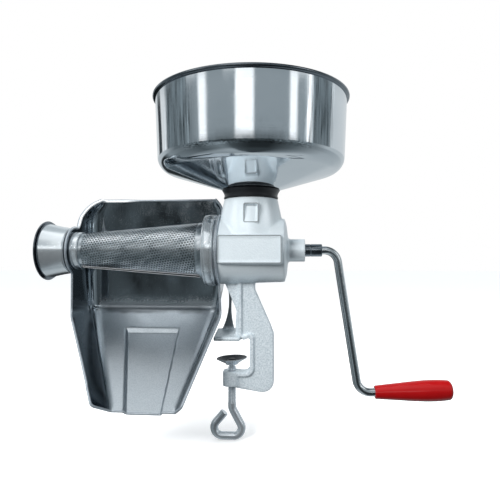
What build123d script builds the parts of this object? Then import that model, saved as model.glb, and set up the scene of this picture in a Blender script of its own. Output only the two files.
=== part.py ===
"""Hand-cranked food mill: screw clamp, spun hopper, perforated cone filter and splash tray.

Millimetres, +Z up.  The origin is the centre of the upper jaw's bearing face, in line with the
clamp screw.  +X runs along the mill's axis towards the crank, and -Y is the front of the mill.
"""

import os
from math import atan2, cos, degrees, radians, sin

from build123d import *

os.makedirs("parts", exist_ok=True)

# ---------------------------------------------------------------- driving dimensions
AXIS_Z = 100.0  # the mill's axis, above the table
HOPPER_X = 21.5  # the hopper and the throat stand on this vertical axis
SHEET = 1.0  # sheet steel of the hopper, the tray and the outlet
RUNNING_FIT = 0.05

RIM_R = 110.0  # hopper, over its rolled rim
RIM_TOP_Z = 270.8
BEAD_R = 2.2
HOPPER_NECK_R = 27.0
THROAT_TOP_Z = 157.6
THROAT_BORE_R = 28.2
THROAT_FOOT_R = 36.4
NECK_FOOT_Z = 141.0  # the hopper's neck tube ends here, inside the throat

CHAMBER_LEFT_X = -12.7
CHAMBER_RIGHT_X = 59.5
CHAMBER_LEFT_R = 38.0
CHAMBER_RIGHT_R = 35.3
CHAMBER_BORE_R = 31.4
END_WALL_X = 57.4  # inner face of the closed end
DOME_X = 63.2
BOSS_END_X = 82.0
BOSS_R = 12.6
SPIGOT_END_X = -26.3
SPIGOT_R = 36.0
PLATE_Y = -38.9  # front face of the blank name plate
PLATE_CENTRE = (22.7, 0.7)  # X, and height above the mill's axis
PLATE_SIZE = (68.4, 30.5)
PLATE_T = 12.0  # from its front into the chamber's round wall
PLATE_BORDER = 1.8
PLATE_SINK = 0.5  # depth of its blank field below the border
EMBLEM_CENTRE = (2.7, 139.7)  # beside the throat's own centre line, and Z
EMBLEM_SIZE = (16.5, 21.0)
EMBLEM_BORDER = 1.5
EMBLEM_BACK_Y = -30.0
EMBLEM_T = 5.2

SHAFT_R = 7.0
SHAFT_END_X = 100.9
BUSH_R = 9.0
TANG = 9.6  # across the flats of the square that drives the auger
ROD_R = 4.6
ROD_SEAT = 18.0  # depth of the hole in the shaft's end that takes the rod
CRANK_TOP_X = 116.5
CRANK_LOW = (140.4, -57.2)  # X and Z of the lower bend
CRANK_END = (231.0, -52.6)  # X and Z of the rod's end, inside the grip
CRANK_BEND_R = 15.0

FILTER_BIG = (-34.0, 31.6)  # X and outer radius of the cone's two ends
FILTER_SMALL = (-177.0, 19.5)
FILTER_WALL = 0.8
FILTER_NECK_END_X = -202.0
FLANGE_R = 35.8
NECK_RING_R = 21.6
GASKET_T = 0.9
COLLAR_R = 40.3
COLLAR_LEFT_X = -29.3
COLLAR_RIGHT_X = -17.0
PIN_ANGLE = 51.0  # first bayonet pin, above the front horizontal
PIN_X = -21.5
PIN_R = 2.2
PIN_SEAT = 3.0  # how deep a pin is pressed into the spigot
PIN_OUT = 3.6  # how far it stands out
TWIST = 25.0  # turn that frees the bayonet

AUGER_LEFT_X = -175.0
AUGER_RIGHT_X = 46.0
AUGER_LEAD = 34.0
AUGER_LAND = 4.0  # thickness of the flight along the axis
AUGER_CORE_R = (6.5, 13.0)  # at the small end and at the shaft's end
AUGER_GAP = 0.9  # between the flight and the filter
AUGER_SOCKET = 22.0  # depth of the square hole for the shaft's tang

TRAY_LEFT_X = -184.0
TRAY_RIGHT_X = -12.8
TRAY_BACK_Y = 47.0
TRAY_TOP_Z = 163.0
BEND_Z = 28.0  # the back wall turns into the chute here
LIP_Y = -75.0
LIP_Z = -61.0
PANEL_DEPTH = 3.0

WEB_T = 13.0  # clamp web, front to back
RIB_T = 19.0  # clamp rim and rib, front to back
RIB_X = (8.0, 11.6)
RIB_Z = (2.5, 65.0)
FIN_T = 5.0
JAW_LEFT_X = -18.9
JAW_RIGHT_X = 10.3
JAW_DEPTH = 34.0
JAW_T = (4.3, 10.0)  # at the front and at the back
TOOTH_X = (-9.0, -5.5, -2.0, 1.5, 5.0)
TOOTH_HALF = 1.1
TOOTH_DEPTH = 1.0
TOOTH_RUN = 8.0  # length of each groove from the jaw's front or back
ARM_TOP_Z = -35.0
ARM_BOTTOM_Z = -51.6
SCREW_BOSS = (19.0, 21.0, 7.0)  # X and Y sizes and corner radius of the boss round the screw
SCREW_R = 4.5
PAD_R = 17.1
PAD_PIVOT_Z = -26.0
PAD_TILT = 3.0

MILL = Plane(origin=(0, 0, AXIS_Z), x_dir=(1, 0, 0), z_dir=(0, -1, 0))
MILL_AXIS = Axis((0, 0, AXIS_Z), (1, 0, 0))
HOPPER = Plane(origin=(HOPPER_X, 0, 0), x_dir=(1, 0, 0), z_dir=(0, -1, 0))
HOPPER_AXIS = Axis((HOPPER_X, 0, 0), (0, 0, 1))


def turned(plane, axis, outline, mode=Mode.ADD):
    """Revolve a closed outline, drawn on the plane, in the part being built."""
    with BuildSketch(plane) as profile:
        with BuildLine():
            Polyline(*outline, close=True)
        make_face()
    revolve(profile.sketch, axis=axis, mode=mode)


def pushed(plane, outline, amount, mode=Mode.ADD):
    """Extrude a closed outline, drawn on the plane, in the part being built."""
    with BuildSketch(plane) as profile:
        with BuildLine():
            Polyline(*outline, close=True)
        make_face()
    extrude(profile.sketch, amount=amount, mode=mode)


def radial_plane(angle, radius, x):
    """A plane on the mill's barrel that faces out, at this angle above the front horizontal."""
    outward = Vector(0, -cos(radians(angle)), sin(radians(angle)))
    return Plane(origin=Vector(x, 0, AXIS_Z) + outward * radius, x_dir=(1, 0, 0), z_dir=outward)


# ---------------------------------------------------------------- casting: chamber, throat and clamp
with BuildPart() as body_casting:
    turned(
        MILL,
        MILL_AXIS,
        [
            (SPIGOT_END_X, 0),
            (SPIGOT_END_X, SPIGOT_R),
            (CHAMBER_LEFT_X, SPIGOT_R),
            (CHAMBER_LEFT_X, CHAMBER_LEFT_R),
            (CHAMBER_RIGHT_X, CHAMBER_RIGHT_R),
            (CHAMBER_RIGHT_X + 2.2, CHAMBER_RIGHT_R - 8),
            (DOME_X, BOSS_R + 1.5),
            (DOME_X + 1.5, BOSS_R),
            (BOSS_END_X, BOSS_R),
            (BOSS_END_X, 0),
        ],
    )
    # throat, which flares into the chamber
    with BuildSketch(HOPPER):
        with BuildLine():
            flare = Spline((30, THROAT_TOP_Z), (31.6, 150), (34.6, 136), (THROAT_FOOT_R, 108))
            Polyline(flare @ 1, (THROAT_FOOT_R, AXIS_Z), (0, AXIS_Z), (0, THROAT_TOP_Z), flare @ 0)
        make_face()
    revolve(axis=HOPPER_AXIS)
    # raised frame on the throat's front, with nothing in it
    with BuildSketch(HOPPER.offset(-EMBLEM_BACK_Y)):
        with Locations(EMBLEM_CENTRE):
            Rectangle(*EMBLEM_SIZE)
            Rectangle(*(size - 2 * EMBLEM_BORDER for size in EMBLEM_SIZE), mode=Mode.SUBTRACT)
    extrude(amount=EMBLEM_T)
    # name plate across the front, blank inside its raised border
    with BuildSketch(MILL.offset(-PLATE_Y - PLATE_T)):
        with Locations(PLATE_CENTRE):
            RectangleRounded(*PLATE_SIZE, 1.5)
    extrude(amount=PLATE_T)
    with BuildSketch(MILL.offset(-PLATE_Y)):
        with Locations(PLATE_CENTRE):
            RectangleRounded(*(size - 2 * PLATE_BORDER for size in PLATE_SIZE), 1.0)
    extrude(amount=-PLATE_SINK, mode=Mode.SUBTRACT)
    # clamp web, from the chamber down round the jaws' opening and back under it
    with BuildSketch(Plane.XZ.offset(-WEB_T / 2)) as web:
        with BuildLine():
            Polyline(
                (-9, 67),
                (26, 67),
                (26, 56),
                (43.4, 17.3),
                (47.2, 7),
                (47.2, -57.5),
                (32, -57.5),
                (5, -53.4),
                (5, ARM_TOP_Z - 0.5),
                (20.6, ARM_TOP_Z - 0.5),
                (20.6, 5.2),
                (JAW_RIGHT_X, 0),
                (4.4, 0),
                (4.4, 21),
                (5.6, 32.7),
                close=True,
            )
        make_face()
        outer_heel = web.vertices().sort_by(Axis.Y)[:2].sort_by(Axis.X)[-1]
        fillet(outer_heel, 12)
        inner_heel = web.vertices().sort_by_distance((20.6, ARM_TOP_Z - 0.5))[0]
        fillet(inner_heel, 8)
    extrude(amount=WEB_T)
    # raised rim along the inside of the opening
    with BuildSketch(Plane.XZ.offset(-RIB_T / 2)):
        with BuildLine():
            FilletPolyline(
                (4, ARM_TOP_Z - 2.7),
                (22.9, ARM_TOP_Z - 2.7),
                (22.9, 6.4),
                (12.5, 2.2),
                radius=(7, 2.5),
            )
        trace(line_width=4.5)
    extrude(amount=RIB_T)
    # upright rib on the web
    rib = [(RIB_X[0], RIB_Z[0]), (RIB_X[0], RIB_Z[1]), (RIB_X[1], RIB_Z[1]), (RIB_X[1], RIB_Z[0])]
    pushed(Plane.XZ.offset(-RIB_T / 2), rib, RIB_T)
    # boss that carries the screw
    with BuildSketch(Plane.XY.offset(ARM_BOTTOM_Z)):
        with Locations((-0.4, 0)):
            RectangleRounded(*SCREW_BOSS)
    extrude(amount=ARM_TOP_Z - ARM_BOTTOM_Z)
    # upper jaw: a wedge, thicker at the back
    half = JAW_DEPTH / 2
    pushed(
        Plane.YZ.offset(JAW_LEFT_X),
        [(-half, 0), (half, 0), (half, JAW_T[1]), (-half, JAW_T[0])],
        JAW_RIGHT_X - JAW_LEFT_X,
    )
    # waisted fin that ties the back of the jaw to the chamber
    with BuildSketch(Plane.XZ.offset(-half + 1)):
        with BuildLine():
            fin_left = ThreePointArc((-16, 4), (-7.5, 24), (-11, 72))
            fin_right = ThreePointArc((6, 72), (-2.4, 34), (3, 4))
            Line(fin_left @ 1, fin_right @ 0)
            Line(fin_right @ 1, fin_left @ 0)
        make_face()
    extrude(amount=FIN_T)
    # passages: the chamber, the throat and the bores for the bush and the screw
    turned(
        MILL,
        MILL_AXIS,
        [
            (SPIGOT_END_X - 1, 0),
            (SPIGOT_END_X - 1, CHAMBER_BORE_R),
            (END_WALL_X, CHAMBER_BORE_R),
            (END_WALL_X, BUSH_R),
            (BOSS_END_X + 1, BUSH_R),
            (BOSS_END_X + 1, 0),
        ],
        Mode.SUBTRACT,
    )
    turned(
        HOPPER,
        HOPPER_AXIS,
        [(0, AXIS_Z), (0, THROAT_TOP_Z + 1), (THROAT_BORE_R, THROAT_TOP_Z + 1), (THROAT_BORE_R, AXIS_Z)],
        Mode.SUBTRACT,
    )
    with BuildSketch(Plane.XY.offset(ARM_BOTTOM_Z - 8)):
        Circle(SCREW_R + RUNNING_FIT)
    extrude(amount=30, mode=Mode.SUBTRACT)
    for angle in (PIN_ANGLE, PIN_ANGLE + 180):
        with BuildSketch(radial_plane(angle, SPIGOT_R + 1, PIN_X)) as pin_hole:
            Circle(PIN_R)
        extrude(pin_hole.sketch, amount=-1 - PIN_SEAT, mode=Mode.SUBTRACT)
    # teeth at the front and the back of the bearing face, with a flat band left between them
    for tooth_x in TOOTH_X:
        groove = [(tooth_x - TOOTH_HALF, -0.1), (tooth_x, TOOTH_DEPTH), (tooth_x + TOOTH_HALF, -0.1)]
        for front_y in (-half, half - TOOTH_RUN):
            pushed(Plane.XZ.offset(-front_y), groove, -TOOTH_RUN, Mode.SUBTRACT)
body_casting.part.label = "body_casting"
export_step(body_casting.part, "parts/body_casting.step")

with BuildPart() as shaft_bush:
    turned(
        MILL,
        MILL_AXIS,
        [
            (END_WALL_X, SHAFT_R + RUNNING_FIT),
            (END_WALL_X, BUSH_R),
            (BOSS_END_X, BUSH_R),
            (BOSS_END_X, SHAFT_R + RUNNING_FIT),
        ],
    )
shaft_bush.part.label = "shaft_bush"
export_step(shaft_bush.part, "parts/shaft_bush.step")

with BuildPart() as lock_pins:
    for angle in (PIN_ANGLE, PIN_ANGLE + 180):
        with BuildSketch(radial_plane(angle, SPIGOT_R - PIN_SEAT, PIN_X)) as pin_end:
            Circle(PIN_R)
        extrude(pin_end.sketch, amount=PIN_SEAT + PIN_OUT)
lock_pins.part.label = "lock_pins"
export_step(lock_pins.part, "parts/lock_pins.step")

# ---------------------------------------------------------------- hopper
CONE_TOP = (103.3, 190.5)  # radius and Z where the cone meets the wall, before rounding
CONE_FOOT = (HOPPER_NECK_R - SHEET / 2, 167.2)
WALL_TOP = (106.6, RIM_TOP_Z - BEAD_R - 1.2)

with BuildPart() as hopper_bowl:
    with BuildSketch(HOPPER):
        with BuildLine():
            FilletPolyline((CONE_FOOT[0], NECK_FOOT_Z), CONE_FOOT, CONE_TOP, WALL_TOP, radius=(3, 16))
        trace(line_width=SHEET)
        with Locations((RIM_R - BEAD_R, RIM_TOP_Z - BEAD_R)):
            Circle(BEAD_R)
    revolve(axis=HOPPER_AXIS)
hopper_bowl.part.label = "hopper_bowl"
export_step(hopper_bowl.part, "parts/hopper_bowl.step")

with BuildPart() as hopper_seal:
    with BuildSketch(HOPPER):
        with BuildLine():
            foot_z = THROAT_TOP_Z + 0.2
            inner_r = HOPPER_NECK_R + 0.1
            waist = ThreePointArc((29.9, 160.6), (30.6, 164.3), (33.0, 167.9))
            Polyline(waist @ 1, (31.6, 167.6), (inner_r, 163.4), (inner_r, foot_z))
            Polyline((inner_r, foot_z), (30.7, foot_z), (30.7, 160), waist @ 0)
        make_face()
    revolve(axis=HOPPER_AXIS)
hopper_seal.part.label = "hopper_seal"
export_step(hopper_seal.part, "parts/hopper_seal.step")

# ---------------------------------------------------------------- filter, its collar and the outlet
SLOPE = (FILTER_BIG[1] - FILTER_SMALL[1]) / (FILTER_BIG[0] - FILTER_SMALL[0])
FLANGE_X = -28.1  # left face of the filter's flange
FLANGE_T = 0.8

with BuildPart() as filter_cone:
    turned(
        MILL,
        MILL_AXIS,
        [
            (FILTER_NECK_END_X, FILTER_SMALL[1]),
            FILTER_SMALL,
            FILTER_BIG,
            (FLANGE_X, FILTER_BIG[1]),
            (FLANGE_X, FLANGE_R),
            (FLANGE_X + FLANGE_T, FLANGE_R),
            (FLANGE_X + FLANGE_T, FILTER_BIG[1] - FILTER_WALL),
            (FILTER_BIG[0], FILTER_BIG[1] - FILTER_WALL),
            (FILTER_SMALL[0], FILTER_SMALL[1] - FILTER_WALL),
            (FILTER_NECK_END_X, FILTER_SMALL[1] - FILTER_WALL),
        ],
    )
filter_cone.part.label = "filter_cone"
export_step(filter_cone.part, "parts/filter_cone.step")

SEAM_ANGLE = -65.0  # the lap seam runs along the cone's lower front
SEAM_ARC = 5.5
with BuildPart() as filter_seam:
    seam_x = (FILTER_SMALL[0] + 5, FILTER_BIG[0] - 1)
    seam_r = [FILTER_SMALL[1] + SLOPE * (x - FILTER_SMALL[0]) + 0.02 for x in seam_x]
    start = 90 - SEAM_ANGLE - SEAM_ARC / 2
    with BuildSketch(MILL) as seam_profile:
        with BuildLine():
            Polyline(
                (seam_x[0], seam_r[0]),
                (seam_x[1], seam_r[1]),
                (seam_x[1], seam_r[1] + 0.6),
                (seam_x[0], seam_r[0] + 0.6),
                close=True,
            )
        make_face()
    revolve(seam_profile.sketch.rotate(MILL_AXIS, start), axis=MILL_AXIS, revolution_arc=SEAM_ARC)
filter_seam.part.label = "filter_seam"
export_step(filter_seam.part, "parts/filter_seam.step")

with BuildPart() as filter_collar:
    skirt_r = SPIGOT_R + 0.3
    lip_x = FLANGE_X - 0.1
    turned(
        MILL,
        MILL_AXIS,
        [
            (COLLAR_LEFT_X, FILTER_BIG[1] + 0.1),
            (COLLAR_LEFT_X, COLLAR_R - 1.5),
            (COLLAR_LEFT_X + 1.5, COLLAR_R),
            (COLLAR_RIGHT_X - 1, COLLAR_R),
            (COLLAR_RIGHT_X, COLLAR_R - 1),
            (COLLAR_RIGHT_X, skirt_r),
            (lip_x, skirt_r),
            (lip_x, FILTER_BIG[1] + 0.1),
        ],
    )
    # bayonet slots: an arc for the twist, then a mouth towards the body
    slot_half = PIN_R + 0.4
    margin = degrees(slot_half / SPIGOT_R)
    for angle in (PIN_ANGLE, PIN_ANGLE + 180):
        with BuildSketch(Plane.YZ.offset(PIN_X - slot_half)) as twist_slot:
            with BuildLine():
                first = radians(180 - angle + margin)
                last = radians(180 - angle - TWIST - margin)
                for reach in (SPIGOT_R - 1, COLLAR_R + 1):
                    CenterArc((0, AXIS_Z), reach, degrees(last), degrees(first - last))
                for turn in (first, last):
                    Line(
                        ((SPIGOT_R - 1) * cos(turn), AXIS_Z + (SPIGOT_R - 1) * sin(turn)),
                        ((COLLAR_R + 1) * cos(turn), AXIS_Z + (COLLAR_R + 1) * sin(turn)),
                    )
            make_face()
        extrude(twist_slot.sketch, amount=2 * slot_half, mode=Mode.SUBTRACT)
        with BuildSketch(radial_plane(angle + TWIST, SPIGOT_R - 1, PIN_X + 4)) as mouth:
            Rectangle(8, 2 * slot_half)
        extrude(mouth.sketch, amount=8, mode=Mode.SUBTRACT)
filter_collar.part.label = "filter_collar"
export_step(filter_collar.part, "parts/filter_collar.step")

with BuildPart() as filter_gasket:
    turned(
        MILL,
        MILL_AXIS,
        [
            (SPIGOT_END_X - GASKET_T, CHAMBER_BORE_R + 0.2),
            (SPIGOT_END_X - GASKET_T, FLANGE_R),
            (SPIGOT_END_X, FLANGE_R),
            (SPIGOT_END_X, CHAMBER_BORE_R + 0.2),
        ],
    )
filter_gasket.part.label = "filter_gasket"
export_step(filter_gasket.part, "parts/filter_gasket.step")

with BuildPart() as filter_neck_ring:
    ring_x = (TRAY_LEFT_X + SHEET + 0.4, FILTER_SMALL[0] + 4.0)
    cone_r = FILTER_SMALL[1] + SLOPE * 4.0
    turned(
        MILL,
        MILL_AXIS,
        [
            (ring_x[0], FILTER_SMALL[1] + 0.02),
            (ring_x[0], NECK_RING_R),
            (ring_x[1], NECK_RING_R),
            (ring_x[1], cone_r + 0.05),
            (FILTER_SMALL[0], FILTER_SMALL[1] + 0.05),
        ],
    )
filter_neck_ring.part.label = "filter_neck_ring"
export_step(filter_neck_ring.part, "parts/filter_neck_ring.step")

SOCKET_R = FILTER_SMALL[1] + 0.08
OUTLET_X = -187.2  # the outlet's shoulder, just outside the tray
MOUTH = (-215.6, 32.1)  # X and radius of the rolled bead's centre
with BuildPart() as waste_outlet:
    with BuildSketch(MILL):
        with BuildLine():
            FilletPolyline(
                (FILTER_NECK_END_X, SOCKET_R + SHEET / 2),
                (OUTLET_X, SOCKET_R + SHEET / 2),
                (OUTLET_X, 25.6),
                (MOUTH[0] + 1.4, MOUTH[1] - 1.2),
                radius=(1.2, 1.6),
            )
        trace(line_width=SHEET)
        with Locations(MOUTH):
            Circle(BEAD_R)
    revolve(axis=MILL_AXIS)
waste_outlet.part.label = "waste_outlet"
export_step(waste_outlet.part, "parts/waste_outlet.step")

# ---------------------------------------------------------------- splash tray
# Each level of the tray is a U that is open to the front: its back-left and back-right corners with
# their rounding, then the ends of its side walls.
TRAY_LEVELS = [
    # z, back y, back-left x, rounding, back-right x, rounding, front y, front-right x, front-left x
    (TRAY_TOP_Z, TRAY_BACK_Y, -168, 8, -25, 8, -60, -16, TRAY_LEFT_X + 3),
    (152, TRAY_BACK_Y, -180, 12, -15, 12, -60, -13.5, TRAY_LEFT_X + 1),
    (138, TRAY_BACK_Y, TRAY_LEFT_X, 14, TRAY_RIGHT_X, 14, -60, TRAY_RIGHT_X, TRAY_LEFT_X),
    (66, TRAY_BACK_Y, TRAY_LEFT_X, 14, TRAY_RIGHT_X, 14, -60, TRAY_RIGHT_X, TRAY_LEFT_X),
    (BEND_Z, TRAY_BACK_Y, -181, 12, -23, 12, -60, -1, -187),
    (LIP_Z, LIP_Y, -112, 6, -47, 6, -110, -38.5, -121),
]


def tray_section(level, inset):
    """The closed outline of the tray at one level, drawn in by the inset on its three walls."""
    z, back_y, left_x, left_r, right_x, right_r, front_y, right_end_x, left_end_x = level
    with BuildSketch(Plane.XY.offset(z)) as section:
        with BuildLine():
            Polyline(
                (left_x + inset, back_y - inset),
                (right_x - inset, back_y - inset),
                (right_end_x - inset, front_y),
                (left_end_x + inset, front_y),
                close=True,
            )
        make_face()
        back = section.vertices().group_by(Axis.Y)[-1].sort_by(Axis.X)
        fillet(back[0], left_r - inset)
        fillet(section.vertices().group_by(Axis.Y)[-1].sort_by(Axis.X)[-1], right_r - inset)
    return section.sketch


CHUTE_DOWN = Vector(0, LIP_Y - TRAY_BACK_Y, LIP_Z - BEND_Z).normalized()
TRAY_MIDDLE_X = -97.0
CHUTE = Plane(
    origin=(TRAY_MIDDLE_X, TRAY_BACK_Y, BEND_Z),
    x_dir=(1, 0, 0),
    z_dir=(0, CHUTE_DOWN.Z, -CHUTE_DOWN.Y),
)
CHUTE_LENGTH = Vector(0, LIP_Y - TRAY_BACK_Y, LIP_Z - BEND_Z).length
PANEL_TOP_Y = -33.0  # down the chute from the bend
PANEL_SLOPE = 7.0  # from its top edge down to its sunk floor
PANEL_END_Y = -CHUTE_LENGTH - 4  # it runs out past the lip
PANEL_EDGE = [(-34, PANEL_TOP_Y), (33, PANEL_TOP_Y), (37, PANEL_END_Y), (-2.5, PANEL_END_Y)]
PANEL_FLOOR = [
    (-30, PANEL_TOP_Y - PANEL_SLOPE),
    (31, PANEL_TOP_Y - PANEL_SLOPE),
    (34.5, PANEL_END_Y),
    (1, PANEL_END_Y),
]
# what is cut away in front of each side wall, in Y and Z
FRONT_TOP = [(40, 165), (31, 158)]
FRONT_FOOT = [(-92, -51), (LIP_Y, LIP_Z - 1)]
FRONT_LEFT = [*FRONT_TOP, (14, 141), (4, 121), (-9, 92), (-9, 30), *FRONT_FOOT]
FRONT_RIGHT = [*FRONT_TOP, (20, 145), (-12, 90), (-13, 30), *FRONT_FOOT]
EAR_LEFT_R = 26.7
EAR_RIGHT_R = 39.6


def panel_depth(edge, floor, lift):
    """The tapered block between a panel's edge and its floor, lifted off the chute's surface."""
    sections = []
    for outline, depth in ((edge, 0.02), (floor, -PANEL_DEPTH)):
        with BuildSketch(CHUTE.offset(depth + lift)) as level:
            with BuildLine():
                Polyline(*outline, close=True)
            make_face()
        sections.append(level.sketch)
    return sections


with BuildPart() as splash_tray:
    for inset, mode in ((0, Mode.ADD), (SHEET, Mode.SUBTRACT)):
        for upper, lower in zip(TRAY_LEVELS, TRAY_LEVELS[1:]):
            loft(sections=[tray_section(upper, inset), tray_section(lower, inset)], ruled=True, mode=mode)
    # the chute's sunk panel, pressed out of the same sheet
    loft(sections=panel_depth(PANEL_EDGE, PANEL_FLOOR, 0), mode=Mode.ADD)
    loft(sections=panel_depth(PANEL_EDGE, PANEL_FLOOR, SHEET + 0.3), mode=Mode.SUBTRACT)
    # free edges of the side walls, with an ear round each end of the filter
    for edge, ear_r, first_x, last_x in (
        (FRONT_LEFT, EAR_LEFT_R, TRAY_LEFT_X - 20, TRAY_MIDDLE_X),
        (FRONT_RIGHT, EAR_RIGHT_R, TRAY_MIDDLE_X, 20),
    ):
        with BuildSketch(Plane.YZ.offset(first_x)) as in_front:
            with BuildLine():
                Polyline(*edge, (LIP_Y, -140), (-200, -140), (-200, 200), (40, 200), close=True)
            make_face()
            with Locations((0, AXIS_Z)):
                Circle(ear_r, mode=Mode.SUBTRACT)
        extrude(in_front.sketch, amount=last_x - first_x, mode=Mode.SUBTRACT)
    # holes for the filter's neck and for the casting's spigot
    for hole_r, first_x in ((FILTER_SMALL[1] + 0.6, TRAY_LEFT_X - 5), (SPIGOT_R + 0.1, TRAY_RIGHT_X - 8)):
        with BuildSketch(Plane.YZ.offset(first_x)) as hole:
            with Locations((0, AXIS_Z)):
                Circle(hole_r)
        extrude(hole.sketch, amount=16, mode=Mode.SUBTRACT)
splash_tray.part.label = "splash_tray"
export_step(splash_tray.part, "parts/splash_tray.step")

# ---------------------------------------------------------------- auger, shaft and crank
AUGER_STEPS_PER_TURN = 12


def auger_section(x, core_r, flight_r, angle):
    """The auger cut square across: a round core with one flight standing out at this angle."""
    across = (0, cos(radians(angle)), sin(radians(angle)))
    half_land = radians(180 * AUGER_LAND / AUGER_LEAD)
    core = (core_r * cos(half_land), core_r * sin(half_land))
    tip = (flight_r * cos(half_land), flight_r * sin(half_land))
    with BuildSketch(Plane(origin=(x, 0, AXIS_Z), x_dir=across, z_dir=(1, 0, 0))) as section:
        with BuildLine():
            Line(core, tip)
            ThreePointArc(tip, (flight_r, 0), (tip[0], -tip[1]))
            Line((tip[0], -tip[1]), (core[0], -core[1]))
            ThreePointArc((core[0], -core[1]), (-core_r, 0), core)
        make_face()
    return section.sketch


def flight_radius(x):
    """The flight follows the filter's cone, and stays straight in the chamber."""
    inside = FILTER_SMALL[1] - FILTER_WALL + SLOPE * (x - FILTER_SMALL[0])
    return min(inside, CHAMBER_BORE_R - 0.4) - AUGER_GAP


with BuildPart() as auger:
    auger_length = AUGER_RIGHT_X - AUGER_LEFT_X
    steps = round(AUGER_STEPS_PER_TURN * auger_length / AUGER_LEAD)
    auger_sections = []
    for step in range(steps + 1):
        x = AUGER_LEFT_X + auger_length * step / steps
        core_r = AUGER_CORE_R[0] + (AUGER_CORE_R[1] - AUGER_CORE_R[0]) * step / steps
        turn = 360 * step / AUGER_STEPS_PER_TURN
        auger_sections.append(auger_section(x, core_r, flight_radius(x), turn))
    loft(sections=auger_sections)
    with BuildSketch(Plane.YZ.offset(AUGER_RIGHT_X - AUGER_SOCKET)) as socket:
        with Locations((0, AXIS_Z)):
            Rectangle(TANG + 0.2, TANG + 0.2)
    extrude(socket.sketch, amount=30, mode=Mode.SUBTRACT)
auger.part.label = "auger"
export_step(auger.part, "parts/auger.step")

with BuildPart() as drive_shaft:
    turned(
        MILL,
        MILL_AXIS,
        [
            (AUGER_RIGHT_X + 0.2, 0),
            (AUGER_RIGHT_X + 0.2, SHAFT_R),
            (SHAFT_END_X - 0.5, SHAFT_R),
            (SHAFT_END_X, SHAFT_R - 0.5),
            (SHAFT_END_X, ROD_R + RUNNING_FIT),
            (SHAFT_END_X - ROD_SEAT, ROD_R + RUNNING_FIT),
            (SHAFT_END_X - ROD_SEAT, 0),
        ],
    )
    tang_length = AUGER_SOCKET - 2
    with BuildSketch(Plane.YZ.offset(AUGER_RIGHT_X - tang_length)) as tang:
        with Locations((0, AXIS_Z)):
            Rectangle(TANG, TANG)
    extrude(tang.sketch, amount=tang_length + 1)
drive_shaft.part.label = "drive_shaft"
export_step(drive_shaft.part, "parts/drive_shaft.step")

WASHER_T = 1.6
with BuildPart() as thrust_washer:
    turned(
        MILL,
        MILL_AXIS,
        [
            (END_WALL_X - 0.1 - WASHER_T, SHAFT_R + 0.1),
            (END_WALL_X - 0.1 - WASHER_T, 13),
            (END_WALL_X - 0.1, 13),
            (END_WALL_X - 0.1, SHAFT_R + 0.1),
        ],
    )
thrust_washer.part.label = "thrust_washer"
export_step(thrust_washer.part, "parts/thrust_washer.step")

SPRING_WIRE_R = 0.8
SPRING_R = 9.4
with BuildPart() as auger_spring:
    spring_left_x = AUGER_RIGHT_X + SPRING_WIRE_R + 0.1
    spring_right_x = END_WALL_X - 0.1 - WASHER_T - SPRING_WIRE_R - 0.1
    with BuildLine() as coil:
        Helix(
            pitch=3.1,
            height=spring_right_x - spring_left_x,
            radius=SPRING_R,
            center=(spring_left_x, 0, AXIS_Z),
            direction=(1, 0, 0),
        )
    with BuildSketch(Plane(origin=coil.line @ 0, z_dir=coil.line % 0)) as wire:
        Circle(SPRING_WIRE_R)
    sweep(wire.sketch, path=coil.line, is_frenet=True)
auger_spring.part.label = "auger_spring"
export_step(auger_spring.part, "parts/auger_spring.step")

with BuildPart() as crank_arm:
    rod_start_x = SHAFT_END_X - ROD_SEAT + 1
    with BuildLine(Plane.XZ) as rod_path:
        FilletPolyline(
            (rod_start_x, AXIS_Z),
            (CRANK_TOP_X, AXIS_Z),
            CRANK_LOW,
            CRANK_END,
            radius=CRANK_BEND_R,
        )
    with BuildSketch(Plane.YZ.offset(rod_start_x)) as rod:
        with Locations((0, AXIS_Z)):
            Circle(ROD_R)
    sweep(rod.sketch, path=rod_path.line)
crank_arm.part.label = "crank_arm"
export_step(crank_arm.part, "parts/crank_arm.step")

# along the handle, from the lower bend
HANDLE_TILT = atan2(CRANK_END[1] - CRANK_LOW[1], CRANK_END[0] - CRANK_LOW[0])
HANDLE = Plane(
    origin=(CRANK_LOW[0], 0, CRANK_LOW[1]),
    x_dir=(cos(HANDLE_TILT), 0, sin(HANDLE_TILT)),
    z_dir=(0, -1, 0),
)
HANDLE_AXIS = Axis(HANDLE.origin, HANDLE.x_dir)
GRIP_START = 17.6
GRIP_END = 100.5
POCKET = (84.0, 93.0)  # hollow for the retainer
with BuildPart() as crank_grip:
    with BuildSketch(HANDLE) as grip_profile:
        with BuildLine():
            bore = ROD_R + 0.09
            swell = Spline((GRIP_START + 0.8, 7.3), (42, 9.2), (74, 11.5), (GRIP_END - 5, 10.7))
            cap = ThreePointArc(swell @ 1, (GRIP_END - 1.6, 8.0), (GRIP_END, 4.0))
            Polyline(
                cap @ 1,
                (GRIP_END, 0),
                (POCKET[1], 0),
                (POCKET[1], 7.4),
                (POCKET[0], 7.4),
                (POCKET[0], bore),
                (GRIP_START, bore),
                (GRIP_START, 6.5),
                swell @ 0,
            )
        make_face()
    revolve(grip_profile.sketch, axis=HANDLE_AXIS)
crank_grip.part.label = "crank_grip"
export_step(crank_grip.part, "parts/crank_grip.step")

with BuildPart() as grip_retainer:
    turned(
        HANDLE,
        HANDLE_AXIS,
        [
            (POCKET[0] + 1.0, ROD_R + 0.02),
            (POCKET[0] + 1.0, 7.0),
            (POCKET[0] + 2.6, 7.0),
            (POCKET[0] + 2.6, ROD_R + 0.02),
        ],
    )
grip_retainer.part.label = "grip_retainer"
export_step(grip_retainer.part, "parts/grip_retainer.step")

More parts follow.
